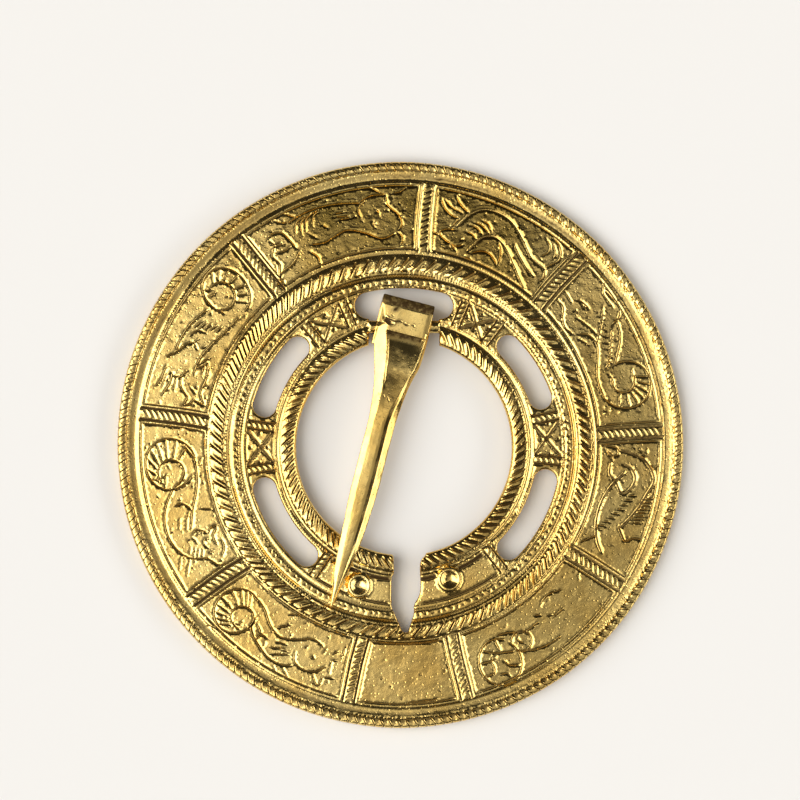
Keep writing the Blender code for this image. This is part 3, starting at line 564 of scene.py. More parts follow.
            [(-7.06, 3.76), (-6.31, 2.68), (-4.9, 1.77)],
            [(-6.06, -1.0), (-7.3, -1.2), (-8.14, -1.6), (-8.14, -2.2), (-6.9, -2.95), (-5.3, -3.25),
             (-4.4, -2.72)],
            [(6.5, 3.95), (7.6, 3.7), (8.5, 2.9), (8.8, 1.9), (8.3, 0.7), (8.06, -0.1)],
            [(0.42, -0.56), (1.42, -1.8), (1.83, -3.46)],
            [(-2.82, -3.6), (-1.57, -2.83), (-0.41, -2.6), (0.75, -2.97), (1.66, -3.6)],
            [(8.1, -0.2), (8.7, -1.2), (8.5, -2.3)])
    + lines(FINE,
            [(-8.3, 2.77), (-7.22, 1.94), (-5.73, 1.52)], [(-5.9, 0.69), (-6.4, -0.14), (-6.75, -0.9)],
            [(-9.38, -1.97), (-8.39, -2.22)], [(5.73, 3.35), (6.73, 2.85), (7.06, 2.02), (6.56, 0.86)],
            [(-2.9, 1.35), (-1.91, 1.19), (-1.16, 0.42)], [(-3.9, 0.69), (-2.74, 0.69), (-1.4, 0.02)],
            [(-4.56, 0.19), (-3.24, 0.11), (-2.2, -0.5)], [(-4.56, -0.89), (-3.57, -0.97), (-2.74, -1.47)],
            [(6.9, 3.3), (7.9, 2.5), (8.1, 1.5)], [(-6.2, -3.2), (-5.2, -3.9)]),
    # Top: a crouching beast with a blunt head
    106.3: (
        lines(CONTOUR,
              [(-6.23, 2.68), (-4.07, 3.01), (-1.41, 3.05), (1.25, 2.72), (3.74, 2.22)],
              [(3.6, 2.3), (5.24, 3.01), (7.23, 3.05)],
              [(7.31, 3.01), (7.43, 1.52), (8.81, 0.19), (9.36, -1.14), (8.8, -2.2)],
              [(8.64, -2.3), (9.5, -3.2), (9.14, -4.5)],
              [(-4.6, -1.4), (-2.57, -1.9), (-0.6, -1.5), (1.25, -1.17), (3.74, -2.05), (6.23, -3.16),
               (8.39, -2.5)],
              [(-9.55, 2.18), (-8.6, 2.45), (-7.4, 1.9), (-6.95, 0.5), (-6.64, -0.97)],
              [(-9.3, 1.69), (-9.22, 0.86), (-10.21, -0.31), (-9.96, -1.8), (-11.3, -3.6)],
              [(-11.3, -3.63), (-10.38, -2.93), (-8.6, -2.75), (-7.4, -2.3), (-6.23, -1.5)],
              [(-5.06, -2.3), (-4.27, -3.46), (-4.4, -4.5)])
        + lines(FINE,
                [(3.49, 0.19), (3.44, 1.44), (4.41, 2.43)], [(-5.89, 0.86), (-5.06, 2.18), (-3.73, 2.6)],
                [(-5.06, 0.52), (-4.4, 2.02), (-2.74, 2.68)], [(-4.4, 0.52), (-3.57, 2.18), (-1.74, 2.77)],
                [(-3.24, 1.02), (-2.57, 2.15), (-1.94, 2.5)], [(-0.08, 1.52), (1.58, 1.44)],
                [(-0.08, 1.1), (2.08, 0.69)], [(0.25, 0.57), (2.25, 0.42)],
                [(5.24, 4.34), (6.4, 3.43), (7.23, 3.1)],
                [(9.89, 4.01), (9.06, 3.35), (8.06, 3.18)], [(-7.55, 3.93), (-6.72, 3.1), (-5.89, 2.77)],
                [(-6.06, 4.18), (-4.73, 2.85)], [(-9.3, 1.1), (-8.05, 0.77)], [(-9.55, 0.77), (-7.89, 0.44)],
                [(-9.38, -0.14), (-8.4, -0.5), (-7.2, -0.4)], [(-11.3, -2.63), (-10.54, -1.64)],
                [(-2.0, 0.6), (-1.3, -0.1)], [(-3.9, -0.2), (-3.3, -0.9)],
                [(5.6, 1.1), (6.1, 0.6), (6.1, 0.1)], [(5.2, -0.6), (5.2, -1.2), (5.6, -1.6)])
    ),
}

# Eyes and punched dots in the panels: (panel angle, x, y, radius, depth)
PANEL_DOTS = (
    (150.95, -7.67, -2.33, 0.2, 0.16), (195.0, -10.13, -2.22, 0.16, 0.14), (-122.4, -5.58, 0.11, 0.24, 0.2),
    (64.95, -4.75, -2.05, 0.22, 0.14), (24.5, -7.4, -1.2, 0.2, 0.14), (106.3, 5.95, 0.75, 0.3, 0.14),
    (106.3, 5.4, -1.0, 0.3, 0.14), (-14.8, -8.0, 0.5, 0.12, 0.1), (24.5, 8.6, -2.2, 0.2, -0.1),
    (24.5, 9.0, -1.0, 0.2, -0.1), (24.5, 8.9, -3.2, 0.18, -0.1), (24.5, 8.0, -3.0, 0.16, -0.1),
)


def panel_strokes():
    found = []
    for angle, strokes in PANELS.items():
        for style, points in strokes:
            line = smooth_line(panel_place(angle, smooth_line(points, 2 * STROKE_STEP)), STROKE_STEP)
            found.append(Stroke(line, *style))
    return found


def arc_line(radius, start, end, step):
    """Points along an arc between two angles in degrees."""
    count = max(2, math.ceil(abs(math.radians(end - start)) * radius / step))
    return on_circle(radius, np.radians(np.linspace(start, end, count + 1)))


def radial_line(angle, offset, inner, outer, step):
    """A line along a divider, a little to one side of it: plus is counterclockwise."""
    direction, side = np.array(polar(1.0, angle)), np.array(polar(1.0, angle + 90.0))
    radii = np.linspace(inner, outer, math.ceil((outer - inner) / step) + 1)
    return radii[:, None] * direction + side * offset


def frame_strokes():
    """The sunk bands and thin lines round each panel."""
    found = []
    for angle, following in zip(DIVIDERS, DIVIDERS[1:] + (DIVIDERS[0] - 360.0,)):
        for side in (-1, 1):
            band = radial_line(angle, side * SUNK_BAND_SIDE, DIVIDER["inner"], DIVIDER["outer"], 0.5)
            found.append(Stroke(band, *SUNK_BAND))
            edge = radial_line(angle, side * FRAME_SIDE, FRAME_INNER, FRAME_OUTER, 0.5)
            found.append(Stroke(edge, *FRAME_EDGE))
        gap = math.degrees(FRAME_SIDE / PANEL_RADIUS)
        # The same gap takes up more degrees at the inner end
        for radius, share in ((FRAME_OUTER, 1.0), (FRAME_INNER, 1.15)):
            arc = arc_line(radius, angle - gap * share, following + gap * share, 0.45)
            found.append(Stroke(arc, *FRAME_ARC))
    return found


def inner_bars():
    """The angles of the roped bars in the inner ring: one at each end of a bridge, and the lone ones."""
    return [*LONE_BARS, *(angle for start, end in BRIDGES for angle in (start + BAR_INSET, end - BAR_INSET))]


def roped_bars():
    """All the roped bars, as (angle, shape)."""
    return [(angle, DIVIDER) for angle in DIVIDERS] + [(angle, INNER_BAR) for angle in inner_bars()]


def ring_strokes():
    """Lines of the inner ring: the bridges' crosses and bars, and the plates beside the slit."""
    found = []
    low, high, beside = INNER_BAR["inner"], INNER_BAR["outer"], INNER_BAR["half_width"] + 0.2
    for start, end in BRIDGES:
        first, last = start + CROSS_INSET, end - CROSS_INSET
        for a, b in ((low, high), (high, low)):
            line = smooth_line([polar(a, first), polar(b, last)], 0.3)
            found.append(Stroke(line, *CROSS))
    for angle in inner_bars():
        for side in (-1, 1):
            found.append(Stroke(radial_line(angle, side * beside, low - 0.1, high + 0.1, 0.3), *BAR_EDGE))
    for start, end in ((LONE_BARS[0] + SLIT_PLATE_MARGIN, SLIT_PLATE_ENDS[0]),
                       (SLIT_PLATE_ENDS[1], LONE_BARS[1] - SLIT_PLATE_MARGIN)):
        for radius, style in zip(SLIT_PLATE_RINGS, (SLIT_PLATE_INNER, SLIT_PLATE_OUTER)):
            found.append(Stroke(arc_line(radius, start, end, 0.3), *style))
    return found


# ---------------------------------------------------------------- the face's height map

def strand_table(pitches):
    """Angles round a ring, and how many strands lie before each. The whole ring has a whole number."""
    degrees = np.linspace(0.0, 360.0, 2881)
    pitch = np.interp((degrees + 180.0) % 360.0 - 180.0, *np.array(pitches).T)
    count = np.concatenate([[0.0], np.cumsum(np.diff(degrees) * 2 / (pitch[1:] + pitch[:-1]))])
    return np.radians(degrees), count * round(count[-1]) / count[-1], np.radians(pitch)


for each_rope in (INNER_ROPE, MIDDLE_ROPE, RIM_ROPE):
    each_rope["table"] = strand_table(each_rope["pitches"])


def strand_phase(rope, angle):
    """The rope's phase at an angle, which grows by one from strand to strand, and the pitch there."""
    angles, count, pitch = rope["table"]
    return np.interp(angle % FULL_TURN, angles, count), np.interp(angle % FULL_TURN, angles, pitch)


def strand_angles(rope, phase):
    """The angle of each strand's cut, or of the middle of each strand for a phase of a half."""
    angles, count, _ = rope["table"]
    return np.interp(np.arange(round(count[-1])) + phase, count, angles)


def rope_middle(rope):
    return (rope["inner"] + rope["outer"]) / 2


def rope_cut(rope, radius, angle):
    """How deep in a cut a place is and how high on the burr beside it, 0 to 1, and how uneven."""
    middle = rope_middle(rope)
    phase, pitch = strand_phase(rope, angle - rope["lean"] * (radius - middle) / middle)
    strand_width = pitch * middle
    inner, outer = rope["cuts"]
    across = np.clip((2 * radius - inner - outer) / (outer - inner), -1.0, 1.0)
    uneven = lattice_noise(phase, radius * 0.7, 1.3, rope["seed"])
    # A cut narrows and gets shallow towards both its ends
    taper = 1.0 - np.abs(across) ** 4
    width = rope["cut"] * (0.5 + 0.5 * taper) * (0.85 + 0.15 * uneven)
    strength = np.minimum(1.0, 2.2 * taper)
    beside = ((phase + 0.5) % 1.0 - 0.5) * strand_width / width
    cut = np.clip(2.0 - 2.0 * np.abs(beside), 0.0, 1.0) * strength
    burr = np.exp(-((beside - 1.2) / 0.6) ** 2) * strength
    # Wide strands have a second cut in their middle, over the inner part of the rope
    second = np.abs(phase % 1.0 - STRAND_MIDDLE) * strand_width / width
    window = np.clip(1.0 - ((across + 0.3) / 0.6) ** 2, 0.0, 1.0) * smooth_step(strand_width, *WIDE_STRAND)
    short = np.clip(1.25 - 1.4 * second, 0.0, 1.0) * window
    return np.maximum(cut, 0.75 * short), burr, uneven


def rope_height(rope, radius, angle):
    """Height of a rope over its ring, and how deep in a groove the point lies."""
    cut, burr, uneven = rope_cut(rope, radius, angle)
    across = (radius - rope_middle(rope)) / (rope["outer"] - rope["inner"]) * 2
    crown = 1.0 - np.minimum(1.0, np.abs(across)) ** rope["roundness"]
    # Shallower where the ropes are worn, at the top
    wear = 1.0 - 0.3 * np.exp(-((angle - math.radians(75.0)) / 0.5) ** 2)
    wear += 0.15 * lattice_noise(angle * rope_middle(rope), radius, 7.0, rope["seed"] + 1)
    height = crown * (rope["height"] * (1.0 + 0.1 * uneven) + 0.1 * burr)
    # The cuts are darkened with dirt and painted shade
    return height - rope["depth"] * cut * wear, np.clip(1.5 * cut * wear - 0.2, 0.0, 1.0)


def rim_height(radius, angle):
    """The milled rim: flat-topped blocks parted by thin cuts, and how dark they are, with dirt and painted
    shade in the cuts and painted shadow in the dents.
    """
    cut, burr, uneven = rope_cut(RIM_ROPE, radius, angle)
    across = (radius - RIM_ROPE["inner"]) / (RIM_ROPE["outer"] - RIM_ROPE["inner"])
    reach = 1.05 - 0.4 * np.exp(-((angle - SHORT_CUTS[0]) / SHORT_CUTS[1]) ** 2)
    worn = np.clip(1.0 - np.abs(angle - math.radians(WORN_RIM[0])) / math.radians(WORN_RIM[1]), 0.0, 0.75)
    cut = cut * (1.0 - smooth_step(across, reach, reach + 0.15)) * (1.0 - worn)
    dented = np.interp((np.degrees(angle) + 180.0) % 360.0 - 180.0, *np.array(DENTED).T)
    # The dents' darkness is painted shadow under the blocks' edges
    dent = np.clip(1.0 - np.abs(radius - DENT_RADIUS) / 0.16, 0.0, 1.0) * dented * (1.0 - burr)
    crown = RIM_ROPE["height"] + 0.015 * uneven - 0.03 * across - 0.1 * across ** 4
    height = crown * smooth_step(across, -0.05, 0.08) - RIM_ROPE["depth"] * cut - 0.1 * dent
    return height, np.minimum(1.0, np.maximum(1.25 * cut, dent))


def stamp(points, height, dirt_and_shade, x, y, radius, depth):
    """A round punch mark with a low burr round it."""
    away = np.hypot(points[:, 0] - x, points[:, 1] - y) / radius
    near = away < 2.0
    pit = np.clip(1.0 - away[near] ** 2, 0.0, 1.0)
    height[near] -= depth * (pit - 0.1 * np.exp(-((away[near] - 1.3) / 0.3) ** 2))
    # The pit is darkened with dirt and painted shade
    if depth > 0:
        dirt_and_shade[near] = np.maximum(dirt_and_shade[near], np.minimum(1.0, 2.2 * pit))


def bead_places():
    """The punched dots of the band outside the slots, and the faint row inside it: (x, y, radius)."""
    spread = np.random.default_rng(17)
    places = []
    degrees = 0.0
    while degrees < 360.0 - DOT_SPACING / 2:
        place = polar(DOT_RING + spread.uniform(-0.08, 0.08), degrees)
        places.append((*shifted(place), spread.uniform(*DOT_SIZES)))
        degrees += DOT_SPACING + spread.uniform(-0.45, 0.45)
    radius, first, last, pitch = SECOND_ROW
    for degrees in np.arange(first, last, pitch):
        place = polar(radius, degrees + spread.uniform(-0.3, 0.3))
        places.append((*shifted(place), spread.uniform(*SECOND_SIZES)))
    return places


def field_dots():
    """Punch marks in the crosses' corners, and pits that corrosion left in the panels."""
    dots = []
    low, level, high = CROSS_DOT_RINGS
    for start, end in BRIDGES:
        middle, side = (start + end) / 2, (end - start) / 2 - 1.7 * BAR_INSET
        for radius, turn in ((high, 0.0), (low, 0.0), (level, -side), (level, side)):
            dots.append((*polar(radius, middle + turn), *CROSS_DOT))
    for angle, x, y, radius, depth in PANEL_DOTS:
        dots.append((*panel_place(angle, [(x, y)])[0], radius, depth))
    spread = np.random.default_rng(5)
    for _ in range(PIT_COUNT):
        radius, angle = spread.uniform(*PIT_RING), spread.uniform(0.0, 360.0)
        dots.append((*polar(radius, angle), spread.uniform(0.1, 0.22), spread.uniform(0.03, 0.09)))
    return dots


def bar_strands(points, height, dirt_and_shade, angle, bar):
    """Slanting strands of a roped bar that lies along a radius."""
    cos, sin = polar(1.0, angle)
    along = points[:, 0] * cos + points[:, 1] * sin
    beside = -points[:, 0] * sin + points[:, 1] * cos
    near = (np.abs(beside) < bar["half_width"]) & (along > bar["inner"]) & (along < bar["outer"])
    along, beside = along[near], beside[near]
    # Beside is plus counterclockwise, and the strands run clockwise as they go outward
    phase = (along + BAR_SLANT * beside) / bar["pitch"]
    uneven = lattice_noise(phase, np.full(len(phase), angle), 1.1, 23)
    crest = np.abs(np.sin(math.pi * (phase + 0.1 * uneven)))
    crown = 1.0 - 0.55 * (beside / bar["half_width"]) ** 2
    height[near] += BAR_RISE * (crown * (0.25 + 0.75 * crest ** 0.8) - 0.35) * (1.0 + 0.2 * uneven)
    # The gaps between the strands are darkened with dirt and painted shade
    dirt_and_shade[near] = np.maximum(dirt_and_shade[near], 0.9 * (1.0 - crest) ** 1.4)


def stains_and_shade(points):
    """How dark the patina and the painted shade are at each place, from 0 to 1."""
    radius, degrees = np.hypot(*points.T), np.degrees(np.arctan2(points[:, 1], points[:, 0]))
    clouds = 1.0 + 0.2 * lattice_noise(points[:, 0], points[:, 1], 3.1, 61)
    clouds += 0.2 * lattice_noise(points[:, 0], points[:, 1], 1.1, 62)
    found = np.zeros(len(points))
    for rises, full_from, full_to, falls, inner, outer, amount in STAINS_AND_SHADE:
        share = plateau(degrees, (rises, full_from), (full_to, falls))
        share *= plateau(radius, (inner, inner + PATCH_EDGE), (outer - PATCH_EDGE, outer))
        found = np.maximum(found, amount * share * clouds)
    return found


def face_height(points, strokes, dots):
    """Height over the foot of the rim, and darkening from dirt and painted shade, 0 to 1, at places on the
    flat disc's face.
    """
    x, y = points[:, 0], points[:, 1]
    ring_x, ring_y = unshifted(points).T
    radius, angle = np.hypot(ring_x, ring_y), np.arctan2(ring_y, ring_x) % FULL_TURN
    height = np.interp(radius, *np.array(FACE_PROFILE).T)
    dirt_and_shade = np.zeros(len(points))
    # Painted shade along the grooves between the rings and in the cove inside the rim
    for ring, half_width, amount in SHADED_GROOVE_RINGS:
        patchy = amount * (1.0 + 0.35 * lattice_noise(angle * ring, radius, 3.0, 8))
        dirt_and_shade = np.maximum(dirt_and_shade, patchy * np.clip(1.5 - 1.5 * np.abs(radius - ring) / half_width, 0.0, 1.0))
    for rope in (INNER_ROPE, MIDDLE_ROPE):
        inside = (radius > rope["inner"]) & (radius < rope["outer"])
        rise, sunk = rope_height(rope, radius[inside], angle[inside])
        height[inside] += rise
        dirt_and_shade[inside] = np.maximum(dirt_and_shade[inside], sunk)
    rim = radius > RIM_ROPE["inner"]
    rise, cut = rim_height(radius[rim], angle[rim])
    height[rim] = rise
    dirt_and_shade[rim] = np.maximum(dirt_and_shade[rim], cut)

    for bar in roped_bars():
        bar_strands(points, height, dirt_and_shade, *bar)
    for stroke in strokes:
        stroke.carve(points, height, dirt_and_shade)
    for dot in dots:
        stamp(points, height, dirt_and_shade, *dot)
    for bead_x, bead_y, bead_radius in bead_places():
        stamp(points, height, dirt_and_shade, bead_x, bead_y, bead_radius, 0.7 * bead_radius)
    for boss_radius, boss_angle in BOSSES:
        boss_x, boss_y = polar(boss_radius, boss_angle)
        away = np.hypot(x - boss_x, y - boss_y)
        near = away < BOSS_PROFILE[-1][0]
        height[near] = np.interp(away[near], *np.array(BOSS_PROFILE).T)
        dirt_and_shade[near] = 0.0

    # The opened pin comes down on the slot's outer edge, into a shallow worn rest
    rest_x, rest_y, rest_radius, rest_depth = PIN_REST
    worn = 1.0 - smooth_step(np.hypot(x - rest_x, y - rest_y), 0.5 * rest_radius, rest_radius)
    height -= rest_depth * worn

    # Cast and hand-worked unevenness, strongest in the panels
    panels = plateau(radius, *PANEL_BAND)
    height += 0.035 * lattice_noise(x, y, 6.0, 1) + 0.012 * lattice_noise(x, y, 1.9, 2)
    height += (0.004 + 0.015 * panels) * lattice_noise(x, y, 0.62, 3)
    return height + PLATE_TOP, dirt_and_shade


# ---------------------------------------------------------------- the disc's outlines

def kidney(start, end, inner, outer):
    """A slot along an arc, with round ends that reach the two angles."""
    middle, half_width = (inner + outer) / 2, (outer - inner) / 2
    inset = math.degrees(half_width / middle)
    first, last = start + inset, end - inset
    turns = np.linspace(0.0, 180.0, 26)[1:-1]
    last_end, first_end = (
        np.array(polar(middle, angle)) + on_circle(half_width, np.radians(heading + turns))
        for angle, heading in ((last, last), (first, first + 180.0)))
    return np.vstack([arc_line(outer, first, last, EDGE_STEP), last_end,
                      arc_line(inner, last, first, EDGE_STEP), first_end])


def top_slot():
    """The slot behind the pin's head: its inner side opens to the neck."""
    outline = kidney(*SLOTS[0])
    inner_radius = SLOTS[0][2]
    beside_neck = np.abs(outline[:, 0]) < NECK_HALF_LENGTH
    inner_side = np.flatnonzero(beside_neck & (outline[:, 1] < inner_radius + 1.25))
    neck_top = NECK_RING_RADIUS + NECK_RADIUS
    corner = math.sqrt(inner_radius ** 2 - NECK_HALF_LENGTH ** 2)
    detour = dense([(NECK_HALF_LENGTH, corner), (NECK_HALF_LENGTH, neck_top),
                    (-NECK_HALF_LENGTH, neck_top), (-NECK_HALF_LENGTH, corner)], False)
    return np.vstack([outline[:inner_side[0]], detour[::-1], outline[inner_side[-1] + 1:]])


def dense(points, closed):
    """The points of an outline with more between them, at most an edge step apart."""
    points = [np.array(point, float) for point in points]
    following = points[1:] + points[:1] if closed else points[1:]
    result = []
    for a, b in zip(points, following):
        count = max(1, math.ceil(np.hypot(*(b - a)) / EDGE_STEP))
        result += [a + (b - a) * i / count for i in range(count)]
    return np.array(result if closed else result + [points[-1]])


def hole_outline():
    """The round hole with the slit below it and the neck's gap above it, counterclockwise."""
    slit = [point for point in SLIT_OUTLINE if math.hypot(*point) > HOLE_RADIUS]
    slit = smooth_line(slit, EDGE_STEP)
    left, right = (math.degrees(math.atan2(y, x)) for x, y in (slit[0], slit[-1]))
    half = math.degrees(math.asin(NECK_HALF_LENGTH / HOLE_RADIUS))
    low = NECK_RING_RADIUS - NECK_RADIUS
    neck = dense([polar(HOLE_RADIUS, 90.0 - half), (NECK_HALF_LENGTH, low), (-NECK_HALF_LENGTH, low),
                  polar(HOLE_RADIUS, 90.0 + half)], False)
    return np.vstack([
        slit, arc_line(HOLE_RADIUS, right + 0.8, 90.0 - half, EDGE_STEP)[:-1], neck,
        arc_line(HOLE_RADIUS, 90.0 + half, 360.0 + left - 0.8, EDGE_STEP)[1:],
    ])


def rim_outline():
    """The outer edge, a little notched between the rim's blocks."""
    middle = rope_middle(RIM_ROPE)
    lean = RIM_ROPE["lean"] * (RIM_RADIUS - middle) / middle
    half = RIM_ROPE["cut"] / middle
    angles = [strand_angles(RIM_ROPE, 0.0) + lean + shift * half for shift in (-1.2, 0.0, 1.2)]
    angles = np.sort(np.concatenate([*angles, strand_angles(RIM_ROPE, 0.5) + lean]))
    cut = rope_cut(RIM_ROPE, np.full(len(angles), RIM_RADIUS), angles)[0]
    wobble = 0.05 * lattice_noise(np.cos(angles) * 40, np.sin(angles) * 40, 9.0, 6)
    return on_circle(RIM_RADIUS - RIM_EDGE_INSET - RIM_NOTCH * cut + wobble, angles)


def inside_outline(points, outline):
    """Which points lie inside a closed outline: a crossing test, only where their boxes meet."""
    found = np.zeros(len(points), bool)
    near = np.where(((points > outline.min(0)) & (points < outline.max(0))).all(1))[0]
    x, y = points[near, 0], points[near, 1]
    odd = np.zeros(len(near), bool)
    for (ax, ay), (bx, by) in zip(outline, np.roll(outline, -1, 0)):
        if ay != by:
            crosses = (ay > y) != (by > y)
            odd ^= crosses & (x < ax + (y - ay) * (bx - ax) / (by - ay))
    found[near] = odd
    return found


# ---------------------------------------------------------------- the disc's points

def rope_lines(rope, both_cuts):
    """Lines along each cut of a rope: its bottom, its edges, the burr, and the strand beside it."""
    middle = rope_middle(rope)
    half = rope["cut"] / middle
    cuts, strands = strand_angles(rope, 0.0), strand_angles(rope, STRAND_MIDDLE)
    leaned = [cuts + shift * half for shift in (-1.7, -1.0, -0.5, 0.5, 1.0, 1.9)] + [strands]
    if both_cuts:
        wide = strand_phase(rope, strands)[1] * middle > WIDE_STRAND[0]
        leaned += [strands[wide] + side * 0.9 * half for side in (-1, 1)]
    radii = np.array(rope["rows"])
    angles = np.concatenate(leaned)[:, None] + rope["lean"] * (radii - middle) / middle
    return list(shifted(on_circle(radii, angles)))


def ring_row(radius, step):
    count = round(FULL_TURN * radius / step)
    return on_circle(radius, FULL_TURN * np.arange(count) / count)


def bar_lines(angle, bar):
    """Lines across a roped bar, along its strands: four to each strand."""
    cos, sin = polar(1.0, angle)
    inner, outer, pitch = bar["inner"], bar["outer"], bar["pitch"]
    across = np.linspace(-0.95, 0.95, 5) * bar["half_width"]
    found = []
    for step in range(math.floor(4 * inner / pitch), math.ceil(4 * outer / pitch)):
        along = step * pitch / 4 - BAR_SLANT * across
        if inner < along.min() and along.max() < outer:
            found.append(np.stack([along * cos - across * sin, along * sin + across * cos], 1))
    return found


# More than there are cells across the plate, so that a cell's row and column make one number
CELLS_ACROSS = 1000003


def thin(blocks, cell):
    """Keep one point in each cell of a fine grid, the earliest first, on two shifted grids."""
    points = np.vstack(blocks)
    for shift in (0.0, 0.5):
        cells = np.floor(points / cell + shift).astype(np.int64)
        _, kept = np.unique(cells[:, 0] * CELLS_ACROSS + cells[:, 1], return_index=True)
        points = points[np.sort(kept)]
    return points


def distances(points, others):
    """How far each point is from the nearest of the others."""
    tree = KDTree(len(others))
    for index, (x, y) in enumerate(others):
        tree.insert((x, y, 0.0), index)
    tree.balance()
    return np.array([tree.find((x, y, 0.0))[2] for x, y in points])


def inset_rows(outline, outward):
    """Rows of points just beside an outline, on the plate's side, that round off its edge."""
    ahead = np.roll(outline, -1, 0) - np.roll(outline, 1, 0)
    ahead /= np.maximum(np.hypot(ahead[:, 0], ahead[:, 1]), 1e-9)[:, None]
    across = np.stack([ahead[:, 1], -ahead[:, 0]], 1) * outward
    return np.vstack([outline + across * gap for gap in (0.1, 0.24)])


def field_points(step):
    """An even spread over the whole face, in rows that are shifted by half a step."""
    rows = np.arange(-RIM_RADIUS, RIM_RADIUS, step * 0.866)
    spread = np.random.default_rng(9)
    found = []
    for index, y in enumerate(rows):
        x = np.arange(-RIM_RADIUS, RIM_RADIUS, step) + (index % 2) * step / 2
        found.append(np.stack([x, np.full(len(x), y)], 1))
    points = np.vstack(found)
    return points + spread.uniform(-0.15, 0.15, points.shape) * step


def carved_lines(strokes):
    """Lines that the face's triangles follow."""
    lines = rope_lines(MIDDLE_ROPE, True) + rope_lines(INNER_ROPE, True) + rope_lines(RIM_ROPE, False)
    for bar in roped_bars():
        lines += bar_lines(*bar)
    for stroke in strokes:
        lines += stroke.guide_lines()
    return lines


def carved_points(dots):
    """Points that the face's round marks and raised rings need."""
    blocks = []
    marks = bead_places() + [dot[:3] for dot in dots]
    for x, y, radius in marks:
        centre = np.array([(x, y)])
        around = [polar(radius * share, 45.0 * k) for share in (0.6, 1.1) for k in range(8)]
        blocks += [centre, centre + around]
    for radius, angle in BOSSES:
        centre = np.array(polar(radius, angle))
        blocks += [centre + ring_row(ring, 0.22) for ring, _ in BOSS_PROFILE[1:]]
    for radius, _ in FACE_PROFILE[1:]:
        if not any(r["inner"] < radius < r["outer"] - 0.03 for r in (INNER_ROPE, MIDDLE_ROPE)):
            blocks.append(shifted(ring_row(radius, ROW_STEP)))
    return thin(blocks, 0.105)


def on_plate(points, outlines):
    """Which points lie inside the first outline and outside all the others."""
    found = inside_outline(points, outlines[0])
    for outline in outlines[1:]:
        found &= ~inside_outline(points, outline)
    return found


def apart(points, others, gap):
    """The points that are further than the gap from all the others."""
    return points[distances(points, others) > gap]


def triangulate(points, lines):
    """Points and triangles over them that follow the lines, which are lists of point numbers.

    Where lines cross, the result has a point more.
    """
    edges = [edge for line in lines for edge in zip(line, line[1:])]
    result = delaunay_2d_cdt([Vector(p) for p in points.tolist()], edges, [], 0, 1e-5)
    return np.array([tuple(v) for v in result[0]]), np.array(result[2])


def numbered(lines, closed, first=0):
    """The numbers that the lines' points get when they are stacked."""
    found = []
    for line in lines:
        numbers = list(range(first, first + len(line)))
        found.append(numbers + numbers[:1] if closed else numbers)
        first += len(line)
    return found


def keep_plate(points, triangles, outlines):
    """The triangles that lie on the plate, all counterclockwise."""
    triangles = triangles[on_plate(points[triangles].mean(1), outlines)]
    a, b, c = (points[triangles[:, k]] for k in range(3))
    turn = (b[:, 0] - a[:, 0]) * (c[:, 1] - a[:, 1]) - (b[:, 1] - a[:, 1]) * (c[:, 0] - a[:, 0])
    flipped = turn < 0
    triangles[flipped] = triangles[flipped][:, ::-1]
    return triangles


def neck_section(points, side):
    """Height of the neck's round bar at places between the two shoulders, or nan elsewhere."""
    across = (points[:, 1] - NECK_RING_RADIUS) / NECK_RADIUS
    on_neck = (np.abs(points[:, 0]) < NECK_HALF_LENGTH) & (np.abs(across) < 1.02) & (points[:, 1] > 0)
    rise = 0.2 + (NECK_RADIUS - 0.2) * np.sqrt(np.clip(1.0 - across ** 2, 0.0, 1.0))
    return np.where(on_neck, NECK_HEIGHT + side * rise, np.nan)


def clear_lines(guides, outlines, edges):
    """The stretches of the guide lines that keep clear of the plate's edges."""
    places = np.vstack(guides)
    clear = on_plate(places, outlines) & (np.hypot(*places.T) < RIM_RADIUS - RIM_MARGIN)
    clear[clear] = distances(places[clear], edges) > 0.12
    lines = []
    for line, kept in zip(guides, np.split(clear, np.cumsum([len(line) for line in guides])[:-1])):
        turns = np.flatnonzero(np.diff(np.concatenate([[False], kept, [False]])))
        lines += [line[a:b] for a, b in zip(turns[::2], turns[1::2]) if b - a > 1]
    return lines


def face_mesh(outlines, strokes, dots):
    """Points and triangles over the face, densest along its edges and its carving."""
    edges = np.vstack(outlines)

    def kept(points):
        return points[on_plate(points, outlines) & (np.hypot(*points.T) < RIM_RADIUS - RIM_MARGIN)]

    rows = [inset_rows(outline, plate_side(outline)) for outline in outlines[1:]]
    rows = np.vstack([inset_rows(outlines[0], -1), *rows])
    rows = thin([apart(rows, edges, 0.07)], 0.07)
    lines = clear_lines(carved_lines(strokes), outlines, edges)
    along = np.vstack([np.vstack([line, (line[1:] + line[:-1]) / 2]) for line in lines])
    carved = apart(kept(carved_points(dots)), np.vstack([edges, along]), 0.09)
    rows = apart(kept(rows), np.vstack([along, carved]), 0.06)
    field = apart(kept(field_points(FIELD_STEP)), np.vstack([edges, along, carved, rows]), 0.2)

    numbers = numbered(outlines, True) + numbered(lines, False, len(edges))
    points, triangles = triangulate(np.vstack([*outlines, *lines, carved, rows, field]), numbers)
    triangles = keep_plate(points, triangles, outlines)
    used = np.unique(triangles)
    renumber = np.full(len(points), -1)
    renumber[used] = np.arange(len(used))
    return points[used], renumber[triangles]


